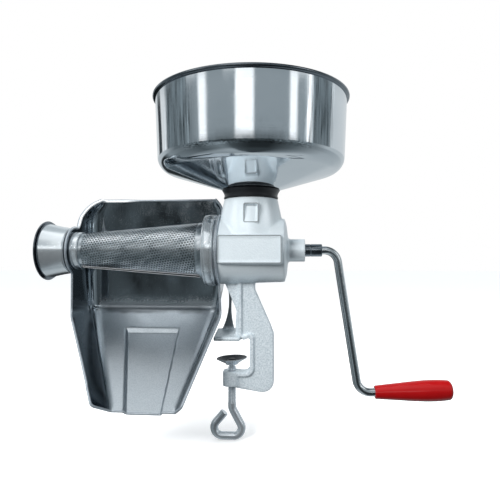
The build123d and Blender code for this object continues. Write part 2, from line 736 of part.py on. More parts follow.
# ---------------------------------------------------------------- clamp screw and its swivel pad
SCREW_NECK_R = 3.2
SCREW_SHOULDER_Z = -31.0
EYE_BOTTOM_Z = -108.3
EYE_BEND_R = 9.0
HEAD_Z = -23.0  # underside of the riveted head
with BuildPart() as clamp_screw:
    with BuildLine(Plane.XZ) as screw_path:
        FilletPolyline(
            (0, SCREW_SHOULDER_Z),
            (0, -77),
            (17, EYE_BOTTOM_Z),
            (-30.6, EYE_BOTTOM_Z),
            (-8.4, -82),
            radius=EYE_BEND_R,
        )
    with BuildSketch(Plane.XY.offset(SCREW_SHOULDER_Z)) as screw_rod:
        Circle(SCREW_R)
    sweep(screw_rod.sketch, path=screw_path.line)
    turned(
        Plane.XZ,
        Axis.Z,
        [
            (0, SCREW_SHOULDER_Z - 1),
            (SCREW_NECK_R, SCREW_SHOULDER_Z - 1),
            (SCREW_NECK_R, HEAD_Z),
            (4.4, HEAD_Z),
            (4.4, HEAD_Z + 0.6),
            (2.4, HEAD_Z + 1.6),
            (0, HEAD_Z + 1.6),
        ],
    )
clamp_screw.part.label = "clamp_screw"
export_step(clamp_screw.part, "parts/clamp_screw.step")

with BuildPart() as pad_washer:
    turned(
        Plane.XZ,
        Axis.Z,
        [
            (SCREW_NECK_R + 0.1, HEAD_Z - 1.1),
            (5.6, HEAD_Z - 1.1),
            (5.6, HEAD_Z - 0.1),
            (SCREW_NECK_R + 0.1, HEAD_Z - 0.1),
        ],
    )
pad_washer.part.label = "pad_washer"
export_step(pad_washer.part, "parts/pad_washer.step")

pad_lean = radians(PAD_TILT)
PAD = Plane(origin=(0, 0, PAD_PIVOT_Z), x_dir=(cos(pad_lean), 0, sin(pad_lean)), z_dir=(0, -1, 0))
with BuildPart() as clamp_pad:
    turned(
        PAD,
        Axis(PAD.origin, PAD.y_dir),
        [
            (3.7, -2.4),
            (6.6, -2.4),
            (7.4, -0.8),
            (13.4, 2.6),
            (PAD_R, 4.5),
            (PAD_R, 5.3),
            (16.0, 5.3),
            (12.6, 3.6),
            (7.4, 1.2),
            (3.7, 1.0),
        ],
    )
clamp_pad.part.label = "clamp_pad"
export_step(clamp_pad.part, "parts/clamp_pad.step")
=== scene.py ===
"""Looks of the food mill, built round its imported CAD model.

Sizes are in millimetres and are turned into metres as each mesh is made.  +X runs along the mill's
axis towards the crank, -Y is the front and +Z is up, as in the CAD.
"""

import math

import bmesh
import bpy
import numpy as np
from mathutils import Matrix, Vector


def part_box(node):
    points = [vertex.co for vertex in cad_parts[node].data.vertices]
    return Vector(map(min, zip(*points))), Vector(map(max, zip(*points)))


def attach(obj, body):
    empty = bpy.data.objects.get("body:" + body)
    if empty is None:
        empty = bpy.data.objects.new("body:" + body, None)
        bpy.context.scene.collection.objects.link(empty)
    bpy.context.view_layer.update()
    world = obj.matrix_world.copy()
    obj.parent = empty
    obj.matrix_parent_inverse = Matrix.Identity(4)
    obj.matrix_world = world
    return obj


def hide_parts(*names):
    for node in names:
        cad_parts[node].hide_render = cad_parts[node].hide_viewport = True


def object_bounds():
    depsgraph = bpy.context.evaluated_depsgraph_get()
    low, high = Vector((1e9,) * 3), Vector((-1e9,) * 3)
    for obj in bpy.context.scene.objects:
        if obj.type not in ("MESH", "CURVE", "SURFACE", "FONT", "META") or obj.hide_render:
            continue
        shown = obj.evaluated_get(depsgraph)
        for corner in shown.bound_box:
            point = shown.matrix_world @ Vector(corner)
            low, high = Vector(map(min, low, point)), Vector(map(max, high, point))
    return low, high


MM = 0.001

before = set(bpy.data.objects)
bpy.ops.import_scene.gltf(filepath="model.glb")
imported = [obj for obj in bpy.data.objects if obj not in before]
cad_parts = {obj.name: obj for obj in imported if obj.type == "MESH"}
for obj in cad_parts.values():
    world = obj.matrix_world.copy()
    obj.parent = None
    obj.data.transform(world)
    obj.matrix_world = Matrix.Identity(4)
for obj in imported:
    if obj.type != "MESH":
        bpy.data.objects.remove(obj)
cad_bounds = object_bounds()


# ---------------------------------------------------------------- places read from the frame
def node_box(name):
    """Lowest and highest corner of a CAD node, in millimetres."""
    low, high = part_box(name)
    return low / MM, high / MM


casting_low, casting_high = node_box("body_casting")
bowl_low, bowl_high = node_box("hopper_bowl")
seal_low, seal_high = node_box("hopper_seal")
cone_low, cone_high = node_box("filter_cone")
collar_low, collar_high = node_box("filter_collar")
ring_low, ring_high = node_box("filter_neck_ring")
seam_low, seam_high = node_box("filter_seam")
outlet_low, outlet_high = node_box("waste_outlet")
tray_low, tray_high = node_box("splash_tray")
shaft_low, shaft_high = node_box("drive_shaft")
crank_low, crank_high = node_box("crank_arm")
grip_low, grip_high = node_box("crank_grip")
screw_low, screw_high = node_box("clamp_screw")
pad_low, pad_high = node_box("clamp_pad")
washer_low, washer_high = node_box("pad_washer")
pins_low, pins_high = node_box("lock_pins")

PLATE_FRONT = -casting_low.y
AXIS_Z = (shaft_low.z + shaft_high.z) / 2
HOPPER_X = (bowl_low.x + bowl_high.x) / 2
SHEET = 1.0
BEAD_R = 2.2  # of the rolled edges of the bowl and the outlet
MILL_AXIS = Vector((0, 0, AXIS_Z))

ALONG_X = Vector((1, 0, 0))
UP = Vector((0, 0, 1))
FRONT = Vector((0, -1, 0))


# ---------------------------------------------------------------- outlines and paths
def arc_corner(before, corner, after, radius, steps, share=0.49):
    """Points of an arc that rounds the corner between two runs, using at most this share of each."""
    to_before = (before - corner).normalized()
    to_after = (after - corner).normalized()
    half = to_before.angle(to_after) / 2
    if half > math.radians(89.5) or radius <= 0:
        return [corner]
    reach = radius / math.tan(half)
    longest = share * min((before - corner).length, (after - corner).length)
    if reach > longest:
        reach = longest
        radius = reach * math.tan(half)
    middle = (to_before + to_after).normalized()
    centre = corner + middle * (radius / math.sin(half))
    start = corner + to_before * reach - centre
    end = corner + to_after * reach - centre
    sweep = start.angle(end)
    points = []
    for step in range(steps + 1):
        t = step / steps
        blend = (start * math.sin((1 - t) * sweep) + end * math.sin(t * sweep)) / math.sin(sweep)
        points.append(centre + blend)
    return points


def rounded(outline, radius, steps=5):
    """The closed outline with each corner rounded.  A point's third number is its own radius."""
    corners = [Vector((p[0], p[1], 0)) for p in outline]
    out = []
    for i, corner in enumerate(corners):
        own = outline[i][2] if len(outline[i]) > 2 else radius
        out += arc_corner(corners[i - 1], corner, corners[(i + 1) % len(corners)], own, steps)
    return out


def smooth_curve(points, steps=10):
    """A Catmull-Rom curve through the points."""
    nodes = [Vector((*p, 0)) for p in points]
    nodes = [nodes[0] * 2 - nodes[1], *nodes, nodes[-1] * 2 - nodes[-2]]
    out = []
    for a, b, c, d in zip(nodes, nodes[1:], nodes[2:], nodes[3:]):
        square = 2 * a - 5 * b + 4 * c - d
        cube = 3 * b - a - 3 * c + d
        for step in range(steps):
            t = step / steps
            out.append(0.5 * (2 * b + (c - a) * t + square * t * t + cube * t**3))
    out.append(nodes[-2])
    return out


# ---------------------------------------------------------------- meshes
def skin(rings, size, closed=False):
    """Faces between neighbouring rings of points, all of one size; closed joins the last to the first."""
    faces = []
    for ring in range(rings if closed else rings - 1):
        here, there = ring * size, (ring + 1) % rings * size
        for i in range(size):
            j = (i + 1) % size
            faces.append((here + i, here + j, there + j, there + i))
    return faces


def capped(rings, size):
    """The faces of a skin and of its two flat ends."""
    last = (rings - 1) * size
    return skin(rings, size) + [tuple(range(size)), tuple(last + i for i in range(size))]


def lathe(outline, centre, axis, side, segments=128):
    """Turns a closed outline of (along the axis, radius) points about the axis: vertices and faces."""
    across = axis.cross(side)
    verts = []
    for step in range(segments):
        turn = math.tau * step / segments
        out = side * math.cos(turn) + across * math.sin(turn)
        verts += [centre + axis * p[0] + out * max(p[1], 0.0) for p in outline]
    return verts, skin(segments, len(outline), True)


def about_mill(outline, segments, rounding, steps):
    """Turns an outline with rounded corners about the mill's own axis."""
    return lathe(rounded(outline, rounding, steps), MILL_AXIS, ALONG_X, FRONT, segments)


def tube(path, radii, sides=32, closed=False):
    """A round tube along a path of points, with a radius for each."""
    count = len(path)
    verts = []
    normal = None
    for i, point in enumerate(path):
        ahead = path[(i + 1) % count] if closed or i < count - 1 else point
        behind = path[i - 1] if closed or i else point
        tangent = (ahead - behind).normalized()
        if normal is None:
            normal = tangent.orthogonal().normalized()
        normal = (normal - tangent * normal.dot(tangent)).normalized()
        across = tangent.cross(normal)
        for side in range(sides):
            turn = math.tau * side / sides
            verts.append(point + (normal * math.cos(turn) + across * math.sin(turn)) * radii[i])
    return verts, skin(count, sides, True) if closed else capped(count, sides)


def sheet_sides(centres):
    """The outer and the inner face of a spun sheet, from the middle of its thickness in (radius, height)."""
    outer, inner = [], []
    for i, point in enumerate(centres):
        ahead = centres[min(i + 1, len(centres) - 1)] - centres[max(i - 1, 0)]
        normal = Vector((0, ahead.z, -ahead.y)).normalized()
        outer.append(point + normal * SHEET / 2)
        inner.append(point - normal * SHEET / 2)
    return outer, inner


def curled(bead, first, sweep, steps):
    """A rolled edge's arc about the bead's middle, from an angle in degrees and through a sweep."""
    out = []
    for step in range(steps + 1):
        turn = math.radians(first + sweep * step / steps)
        out.append(bead + Vector((0, math.cos(turn), math.sin(turn))) * BEAD_R)
    return out


def joined(*parts):
    """Several (vertices, faces) pairs as one."""
    verts, faces = [], []
    for part_verts, part_faces in parts:
        start = len(verts)
        verts += part_verts
        faces += [tuple(start + i for i in face) for face in part_faces]
    return verts, faces


def make_object(name, shape, merge=0.002):
    """A mesh object from (vertices, faces) in millimetres, with outward normals and no doubled points."""
    mesh = bpy.data.meshes.new(name)
    mesh.from_pydata([v * MM for v in map(Vector, shape[0])], [], shape[1])
    work = bmesh.new()
    work.from_mesh(mesh)
    bmesh.ops.remove_doubles(work, verts=work.verts, dist=merge * MM)
    bmesh.ops.dissolve_degenerate(work, edges=work.edges, dist=merge * MM / 2)
    bmesh.ops.recalc_face_normals(work, faces=work.faces)
    work.to_mesh(mesh)
    work.free()
    piece = bpy.data.objects.new(name, mesh)
    bpy.context.scene.collection.objects.link(piece)
    return piece


def modified(piece, *modifiers):
    """The object with these modifiers applied: each is (type, {settings})."""
    for kind, settings in modifiers:
        modifier = piece.modifiers.new(kind.lower(), kind)
        for key, value in settings.items():
            setattr(modifier, key, value)
    bpy.context.view_layer.update()
    evaluated = piece.evaluated_get(bpy.context.evaluated_depsgraph_get())
    mesh = bpy.data.meshes.new_from_object(evaluated)
    piece.modifiers.clear()
    piece.data = mesh
    return piece


def cut(piece, cutters):
    """Takes the cutters away from the piece."""
    for cutter in cutters:
        modified(piece, ("BOOLEAN", {"operation": "DIFFERENCE", "solver": "EXACT", "object": cutter}))
        bpy.data.objects.remove(cutter)
    return piece


def finished(piece, body, node, material, crease=35, trim=None):
    """Smooth shading, material, body and slot of a new piece; trim is for faces marked by mark_trim."""
    mesh = piece.data
    marks = [face.material_index if trim else 0 for face in mesh.polygons]
    mesh.materials.clear()
    mesh.materials.append(material)
    if trim:
        mesh.materials.append(trim)
    mesh.polygons.foreach_set("material_index", marks)
    mesh.polygons.foreach_set("use_smooth", [True] * len(mesh.polygons))
    mesh.set_sharp_from_angle(angle=math.radians(crease))
    mesh.update()
    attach(piece, body)
    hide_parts(node)
    return piece


def mark_trim(piece, chosen=lambda face: True):
    """Gives the chosen faces the piece's second material."""
    for face in piece.data.polygons:
        face.material_index = 1 if chosen(face) else 0


# ---------------------------------------------------------------- the tray's figures
TRAY_BACK_Y = tray_high.y
TRAY_TOP_Z = tray_high.z
TRAY_LEFT_X = -184.0
TRAY_RIGHT_X = -12.8
TRAY_MIDDLE_X = -97.0
BEND_Z = 28.0
LIP_Z = -61.0
LIP_Y = -75.0
# the tray's shape down its height: each row is z, back-left x, its rounding, back-right x, its rounding,
# and where the lines of the left and the right wall reach their far front
TRAY_ROWS = np.array(
    [
        (TRAY_TOP_Z, -168, 8, -25, 8, TRAY_LEFT_X + 3, -16),
        (152, -180, 12, -15, 12, TRAY_LEFT_X + 1, -13.5),
        (138, TRAY_LEFT_X, 14, TRAY_RIGHT_X, 14, TRAY_LEFT_X, TRAY_RIGHT_X),
        (66, TRAY_LEFT_X, 14, TRAY_RIGHT_X, 14, TRAY_LEFT_X, TRAY_RIGHT_X),
        (BEND_Z, -181, 12, -23, 12, -187, -1), (LIP_Z, -112, 6, -47, 6, -121, -38.5),
    ]
)[::-1]
FAR_FRONT = ((LIP_Z, -110), (BEND_Z, -60), (TRAY_TOP_Z, -60))
# the free edges of the two walls in y and z
FRONT_TOP = [(40, TRAY_TOP_Z), (31, 158)]
FRONT_FOOT = [(-92, -51), (LIP_Y, LIP_Z)]
FRONT_LEFT = [*FRONT_TOP, (14, 141), (4, 121), (-9, 92), (-9, 30), *FRONT_FOOT]
FRONT_RIGHT = [*FRONT_TOP, (20, 145), (-12, 90), (-13, 30), *FRONT_FOOT]
EAR_LEFT_R = 26.7
EAR_RIGHT_R = 39.6
CHUTE_DOWN = Vector((0, LIP_Y - TRAY_BACK_Y, LIP_Z - BEND_Z)).normalized()
CHUTE_OUT = Vector((0, CHUTE_DOWN.z, -CHUTE_DOWN.y))
CHUTE_LENGTH = math.hypot(LIP_Y - TRAY_BACK_Y, LIP_Z - BEND_Z)
PANEL_DEPTH = 3.0
PANEL_START = 33.0  # how far down the chute
SANDY_ROUGHNESS = 0.30
# colour of the painted shade on the tray's side walls and along its bend
PAINTED_WALL_SHADE = (0.25, 0.28, 0.31)
HEM_R = 1.3
HEM_SWELL = 0.8  # how much fuller the left ear's hem is


# ---------------------------------------------------------------- materials
def add(tree, kind, inputs=None, **settings):
    """A shader node with its settings, and its inputs set or linked."""
    node = tree.nodes.new(kind)
    for key, value in settings.items():
        setattr(node, key, value)
    for key, value in (inputs or {}).items():
        if isinstance(value, bpy.types.NodeSocket):
            tree.links.new(value, node.inputs[key])
        else:
            node.inputs[key].default_value = value
    return node


def new_material(name, metallic, specular=0.5):
    """A material, its shader and its object coordinates in millimetres."""
    made = bpy.data.materials.new(name)
    made.use_nodes = True
    shader = made.node_tree.nodes["Principled BSDF"]
    shader.inputs["Metallic"].default_value = metallic
    shader.inputs["Specular IOR Level"].default_value = specular
    place = add(made.node_tree, "ShaderNodeTexCoord").outputs["Object"]
    return made, shader, scaled(place, (1 / MM,) * 3)


def math_node(operation, first, second):
    return add(first.id_data, "ShaderNodeMath", {0: first, 1: second}, operation=operation).outputs[0]


def plus(first, second):
    return math_node("ADD", first, second)


def times(first, second):
    return math_node("MULTIPLY", first, second)


def vector_node(operation, first, second, output=0):
    inputs = {0: first, 1: second}
    return add(first.id_data, "ShaderNodeVectorMath", inputs, operation=operation).outputs[output]


def scaled(vector, factors):
    return vector_node("MULTIPLY", vector, factors)


def axes(vector):
    """The x, y and z of a vector."""
    return add(vector.id_data, "ShaderNodeSeparateXYZ", {0: vector}).outputs[:3]


def noise(vector, size, detail=3.0, rough=0.5):
    """Noise whose features are about this many units across."""
    inputs = {"Vector": vector, "Scale": 1 / size, "Detail": detail, "Roughness": rough}
    return add(vector.id_data, "ShaderNodeTexNoise", inputs).outputs["Fac"]


def ramp(value, low, high, to_low=0.0, to_high=1.0):
    """The value's range from low to high mapped to another range, and held beyond it."""
    inputs = {"Value": value, "From Min": low, "From Max": high, "To Min": to_low, "To Max": to_high}
    return add(value.id_data, "ShaderNodeMapRange", inputs).outputs[0]


def between(value, low, full, held, gone):
    """0 below low, rising to 1 at full, held until it falls back to 0 at gone."""
    return times(ramp(value, low, full), ramp(value, held, gone, 1, 0))


def colours(value, low, high):
    """A colour between two, by the value from 0 to 1.  Each is three numbers or another colour's socket."""
    low, high = (c if isinstance(c, bpy.types.NodeSocket) else (*c, 1) for c in (low, high))
    inputs = {"Factor": value, "A": low, "B": high}
    return add(value.id_data, "ShaderNodeMix", inputs, data_type="RGBA").outputs[2]


def give(shader, name, socket):
    """Links a socket to one of the shader's inputs."""
    socket.id_data.links.new(socket, shader.inputs[name])


def bumps(shader, layers):
    """Chains bump nodes: each layer is a height and its depth in millimetres."""
    normal = None
    for height, depth in layers:
        inputs = {"Height": height, "Distance": depth * MM, "Strength": 1.0}
        if normal is not None:
            inputs["Normal"] = normal
        normal = add(height.id_data, "ShaderNodeBump", inputs).outputs[0]
    give(shader, "Normal", normal)


def polished_sheet(name, wave_size, wave_depth, grain, worn=None):
    """Mirror-polished stainless sheet: slow waves, a faint polishing grain and small dulled patches.

    worn is a function that gives, from the place, a share from 0 to 1 of blasted, sandy surface.
    """
    made, shader, place = new_material(name, 1.0)
    dull = noise(place, 14, 4, 0.6)
    lines = noise(scaled(place, grain), 0.8, 2)
    slow = noise(place, wave_size, 2, 0.4)
    fine = noise(place, 0.9, 2)
    colour = colours(noise(place, 60, 2), (0.60, 0.655, 0.70), (0.74, 0.785, 0.82))
    rough = plus(ramp(dull, 0.35, 0.7, 0.03, 0.10), ramp(lines, 0.3, 0.7, 0.0, 0.04))
    layers = [(slow, wave_depth), (lines, 0.0012)]
    if worn is None:
        layers.append((fine, 0.0012))
    else:
        share = worn(place)
        rough = plus(rough, ramp(share, 0, 1, 0, SANDY_ROUGHNESS))
        speckled = colours(ramp(fine, 0.35, 0.65), (0.66, 0.73, 0.78), (0.84, 0.90, 0.95))
        # on the tray, the side walls and the bend are painted darker as shade
        colour = colours(painted_shade_on_walls(place), colours(share, colour, speckled), PAINTED_WALL_SHADE)
        layers += [(fine, 0.0016), (times(fine, share), 0.02)]
    give(shader, "Base Color", colour)
    give(shader, "Roughness", rough)
    bumps(shader, layers)
    return made


def above_chute(place):
    """How far a place is above the plane of the tray's chute."""
    from_bend = vector_node("SUBTRACT", place, (0, TRAY_BACK_Y, BEND_Z))
    return vector_node("DOT_PRODUCT", from_bend, CHUTE_OUT, "Value")


def on_chute(place):
    """1 on the tray's chute and round its bend, and 0 a few millimetres off them."""
    x, _, z = axes(place)
    chute = times(ramp(above_chute(place), 1.5, 4.0, 1, 0), ramp(z, BEND_Z - 3, BEND_Z + 4, 1, 0))
    across = between(x, -176, -170, -27, -20)
    near = between(z, BEND_Z - 4, BEND_Z, BEND_Z + 6, BEND_Z + 20)
    return math_node("MAXIMUM", chute, times(across, near))


def painted_shade_on_walls(place):
    """Where the tray's sheet is painted darker as shade: 1 on its side walls, a little less along its bend,
    and 0 elsewhere on its back and its chute.
    """
    x, y, z = axes(place)
    walls = times(ramp(above_chute(place), 3, 7), ramp(y, TRAY_BACK_Y - 12, TRAY_BACK_Y - 18))
    wavy = plus(z, ramp(noise(place, 40, 2), 0.3, 0.7, -3, 3))
    level = times(ramp(wavy, BEND_Z - 5, BEND_Z - 2), ramp(z, BEND_Z + 3, BEND_Z + 9, 1, 0))
    line = times(level, between(x, -170, -160, -45, -30))
    return math_node("MAXIMUM", walls, times(line, 0.8))


def spun_steel(name, rough_low, rough_high):
    """Stainless steel turned about the mill's axis: fine rings round it and a soft sheen."""
    made, shader, place = new_material(name, 0.85)
    along = scaled(place, (1.0, 0.02, 0.02))
    rings = noise(along, 0.5, 3, 0.7)
    patches = noise(place, 18, 3)
    give(shader, "Base Color", colours(patches, (0.66, 0.72, 0.76), (0.80, 0.85, 0.88)))
    rough = ramp(rings, 0.3, 0.7, rough_low, rough_high)
    give(shader, "Roughness", plus(rough, ramp(patches, 0.3, 0.7, 0, 0.05)))
    bumps(shader, [(noise(along, 5.0, 2), 0.01), (rings, 0.002)])
    return made


def perforated_steel(name):
    """Perforated sheet: satin steel with slantwise streaks along the cone: painted sheen in its colour, and
    changes of gloss in its roughness.
    """
    made, shader, place = new_material(name, 1.0)
    turned = {"Vector": place, "Angle": math.radians(28)}
    slant = add(place.id_data, "ShaderNodeVectorRotate", turned, rotation_type="Y_AXIS").outputs[0]
    streaks = noise(scaled(slant, (0.12, 0.5, 1.0)), 5, 3, 0.6)
    grain = noise(place, 0.6, 2, 0.6)
    # the streaks lighten the colour as painted sheen
    give(shader, "Base Color", colours(ramp(streaks, 0.38, 0.62), (0.50, 0.56, 0.60), (0.88, 0.93, 0.97)))
    give(shader, "Roughness", plus(ramp(streaks, 0.3, 0.7, 0.34, 0.22), ramp(grain, 0.3, 0.7, 0, 0.04)))
    bumps(shader, [(grain, 0.004)])
    return made


def cast_aluminium(name, shade=1.0):
    """Sand-cast aluminium: smooth on the barrel and the throat, stippled on the clamp and the name plate."""
    made, shader, place = new_material(name, 0.40)
    _, y, z = axes(place)
    clamp = ramp(z, AXIS_Z - 36, AXIS_Z - 30, 1.0, 0.0)
    plate = ramp(y, -PLATE_FRONT + 0.8, -PLATE_FRONT + 0.35, 0.0, 1.0)
    coarse = math_node("MAXIMUM", clamp, plate)
    speckle = noise(place, 1.7, 3, 0.65)
    pale = [tuple(shade * part for part in colour) for colour in ((0.735, 0.815, 0.86), (0.85, 0.925, 0.96))]
    light = colours(noise(place, 22, 4, 0.6), *pale)
    dark = colours(ramp(speckle, 0.32, 0.68), (0.52, 0.61, 0.66), (0.89, 0.955, 1.0))
    skin = colours(ramp(clamp, 0, 1, 0.10, 0.85), light, dark)
    # the web behind the jaw is painted dark as shade
    painted_shade_web = times(ramp(y, 10.2, 10.8), between(z, 9, 14, AXIS_Z - 40, AXIS_Z - 34))
    give(shader, "Base Color", colours(times(painted_shade_web, 0.85), skin, (0.10, 0.12, 0.13)))
    give(shader, "Roughness", plus(ramp(speckle, 0.3, 0.7, 0.30, 0.38), ramp(coarse, 0, 1, 0, 0.08)))
    stipple = times(speckle, ramp(coarse, 0, 1, 0.04, 1.0))
    bumps(shader, [(noise(place, 7.0, 3, 0.6), 0.08), (stipple, 0.42), (noise(place, 0.35, 2, 0.7), 0.012)])
    return made


def plated_steel(name, low, high, rough, scale, metallic=1.0):
    """Plated bar: a clean metal with drawn lines and slightly uneven plating."""
    made, shader, place = new_material(name, metallic)
    tone = noise(place, 9, 3, 0.6)
    grain = noise(place, 0.5, 3, 0.7)
    give(shader, "Base Color", colours(tone, low, high))
    give(shader, "Roughness", plus(ramp(tone, 0.3, 0.7, rough, rough * 1.6), ramp(grain, 0.3, 0.7, 0, 0.05)))
    bumps(shader, [(tone, 0.03 * scale), (grain, 0.004 * scale)])
    return made


def plain_finish(name, low, high, metallic, rough, grain_size, depth, **extra):
    """Rubber, plastic or bronze: two close tones, an uneven gloss and a fine surface grain."""
    made, shader, place = new_material(name, metallic, **extra)
    tone = noise(place, 12, 3, 0.6)
    grain = noise(place, grain_size, 2, 0.6)
    give(shader, "Base Color", colours(tone, low, high))
    give(shader, "Roughness", plus(ramp(tone, 0.3, 0.7, rough, rough + 0.08), ramp(grain, 0.3, 0.7, 0, 0.03)))
    bumps(shader, [(grain, depth)])
    return made


def hem_steel(name):
    """The tray's rolled edge: satin steel, with a painted highlight on the top of the left ear where the hem
    faces towards +X and down.
    """
    made, shader, place = new_material(name, 0.75)
    x, _, z = axes(place)
    across, _, upward = axes(add(place.id_data, "ShaderNodeNewGeometry").outputs["Normal"])
    on_ear = times(ramp(x, -120, -140), ramp(z, AXIS_Z + 22, AXIS_Z + 32))
    # painted highlight: near-white and no longer metal on the ear's hem where it faces +X and down
    painted_ear_highlight = times(on_ear, ramp(math_node("SUBTRACT", across, upward), -0.55, 0.15))
    plain = colours(noise(place, 9, 3, 0.6), (0.40, 0.45, 0.50), (0.60, 0.66, 0.71))
    grain = noise(place, 0.6, 2, 0.6)
    give(shader, "Base Color", colours(painted_ear_highlight, plain, (0.97, 0.99, 1.0)))
    give(shader, "Metallic", ramp(painted_ear_highlight, 0, 1, 0.75, 0.0))
    give(shader, "Roughness", ramp(grain, 0.3, 0.7, 0.24, 0.34))
    bumps(shader, [(grain, 0.01)])
    return made


# plated steels: dark and pale tone, roughness, depth of the grain; plain finishes: dark and pale tone,
# metallic share, roughness, size of the grain in millimetres and its depth
STEEL_BOWL = polished_sheet("polished_steel_spun", 45, 0.10, (0.02, 0.02, 1.0))
STEEL_TRAY = polished_sheet("polished_steel_sheet", 38, 0.035, (1.0, 0.08, 0.08), on_chute)
STEEL_RING = spun_steel("polished_steel_turned", 0.15, 0.21)
SPUN = spun_steel("brushed_steel_spun", 0.16, 0.22)
PERFORATED = perforated_steel("perforated_steel_sheet")
CAST = cast_aluminium("cast_aluminium_satin")
# a darker copy of the cast finish that paints shade: lines round the name plate and the emblem, and the dark
# seen through the filter's holes on the hidden auger
CAST_PAINTED_SHADE = cast_aluminium("cast_aluminium_painted_shade", 0.42)
HEM = hem_steel("satin_steel_hem_painted_highlight")
CHROME = plated_steel("bright_plated_rod", (0.72, 0.76, 0.79), (0.84, 0.87, 0.89), 0.12, 0.5)
ZINC = plated_steel("zinc_plated_steel", (0.68, 0.74, 0.79), (0.84, 0.89, 0.93), 0.14, 0.8, 0.72)
DARK = plated_steel("dark_steel_bar", (0.24, 0.27, 0.30), (0.34, 0.38, 0.42), 0.16, 0.3)
# a dark copy of plated steel that paints shade onto the rolled rims of the bowl and the outlet
RIM_PAINTED_SHADE = plated_steel("rolled_rim_painted_shade", (0.13, 0.15, 0.17), (0.24, 0.27, 0.30), 0.10, 0.4)
# near-white steel that paints highlights: the bright lines along the filter's seam
EDGE_PAINTED_HIGHLIGHT = plain_finish("steel_edge_painted_highlight", (0.90, 0.94, 0.97), (0.97, 0.99, 1.0), 0.15, 0.34, 0.6, 0.01)
# near-black finish that paints shade into the filter's hole walls, the seam's channel, the pad's dish and
# what sits in it
PAINTED_SHADE = plain_finish("painted_shade_dark", (0.020, 0.024, 0.028), (0.05, 0.056, 0.062), 0.3, 0.45, 0.8, 0.02)
RUBBER = plain_finish("black_rubber_moulded", (0.010, 0.011, 0.013), (0.022, 0.023, 0.026), 0.0, 0.26, 0.5,
                      0.010)
RED = plain_finish("red_moulded_plastic", (0.27, 0.003, 0.004), (0.36, 0.005, 0.006), 0.0, 0.10, 1.6, 0.010,
                   specular=0.4)
BRONZE = plain_finish("bearing_bronze", (0.42, 0.27, 0.12), (0.56, 0.38, 0.18), 1.0, 0.30, 0.5, 0.01)


# ---------------------------------------------------------------- hopper
def build_hopper():
    """Spun bowl: neck tube, rolled shoulder, cone, rounded corner, wall and a rolled rim."""
    rim_r = bowl_high.x - HOPPER_X
    top_z = bowl_high.z
    neck_r = 26.5
    foot = Vector((0, neck_r, bowl_low.z))
    shoulder = Vector((0, neck_r, seal_high.z - 0.7))
    corner = Vector((0, rim_r - 6.7, top_z - 80.3))
    wall_top = Vector((0, rim_r - 3.4, top_z - BEAD_R - 1.2))
    at_shoulder = arc_corner(foot, shoulder, corner, 3, 6)
    at_corner = arc_corner(shoulder, corner, wall_top, 16, 24)
    outer, inner = sheet_sides([foot, *at_shoulder, *at_corner, wall_top])
    # the wall's top edge curls outward into the bead and tucks back under it
    curl = curled(Vector((0, rim_r - BEAD_R, top_z - BEAD_R)), 195, -330, 24)
    outline = [(p.z, p.y) for p in outer + curl[::-1] + inner[::-1]]
    piece = make_object("hopper_shell", lathe(outline, Vector((HOPPER_X, 0, 0)), UP, FRONT, 192))
    # the rolled rim gets the dark rim finish as painted shade
    mark_trim(piece, lambda face: face.center.z / MM > top_z - 2 * BEAD_R)
    return finished(piece, "hopper", "hopper_bowl", STEEL_BOWL, 50, RIM_PAINTED_SHADE)


def build_seal():
    """Rubber ring with a waist and two moulded beads."""
    inner_r = 27.1
    low, high = seal_low.z, seal_high.z
    outer_r = (seal_high.x - seal_low.x) / 2
    outline = [
        (low, inner_r), (low, 30.4), (low + 1.5, 30.7), (low + 2.1, 30.2), (low + 3.0, 30.0),
        (low + 5.0, 30.2), (low + 7.0, 31.0), (low + 8.6, 32.0), (high, outer_r),
        (high - 0.35, outer_r - 1.4), (high - 4.5, inner_r),
    ]
    shape = lathe(rounded(outline, 0.6, steps=4), Vector((HOPPER_X, 0, 0)), UP, FRONT, 160)
    piece = make_object("seal_ring", shape)
    return finished(piece, "hopper", "hopper_seal", RUBBER, 40)


# ---------------------------------------------------------------- body casting
def frame_ring(centre, size, width, depth, corner_r, round_r):
    """A raised rectangular border that faces the front, with rounded corners and a soft section."""
    half_x, half_z = size[0] / 2 - width / 2, size[1] / 2 - width / 2
    corners = [(-half_x, -half_z), (half_x, -half_z), (half_x, half_z), (-half_x, half_z)]
    path = [centre + Vector((p.x, 0, p.y)) for p in rounded(corners, corner_r, steps=6)]
    half = width / 2
    section = rounded([(-half, -depth), (half, -depth), (half, depth), (-half, depth)], round_r, steps=3)
    verts = []
    for i, point in enumerate(path):
        along = (path[(i + 1) % len(path)] - path[i - 1]).normalized()
        out = along.cross(FRONT)
        verts += [point + out * p.x + FRONT * p.y for p in section]
    return verts, skin(len(path), len(section), True)


def build_casting():
    """The CAD casting with the soft fillets of a sand mould, and its two blank borders made crisp with
    painted shade in their colour.
    """
    voxel = 0.95
    piece = bpy.data.objects.new("casting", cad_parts["body_casting"].data.copy())
    bpy.context.scene.collection.objects.link(piece)
    modified(
        piece,
        ("WELD", {"merge_threshold": 0.01 * MM}),
        ("REMESH", {"mode": "VOXEL", "voxel_size": voxel * MM}),
        ("SMOOTH", {"factor": 0.5, "iterations": 4}),
    )
    plate = frame_ring(Vector((22.7, 0.1 - PLATE_FRONT, AXIS_Z + 0.7)), (68.0, 30.1), 1.1, 0.6, 1.6, 0.2)
    emblem = frame_ring(Vector((HOPPER_X + 2.7, -35.3, 139.7)), (16.5, 21.0), 1.2, 0.5, 1.6, 0.2)
    trim = make_object("casting_trim", joined(plate, emblem))
    mark_trim(trim)
    join_into(piece, trim)
    return finished(piece, "housing", "body_casting", CAST, 70, CAST_PAINTED_SHADE)


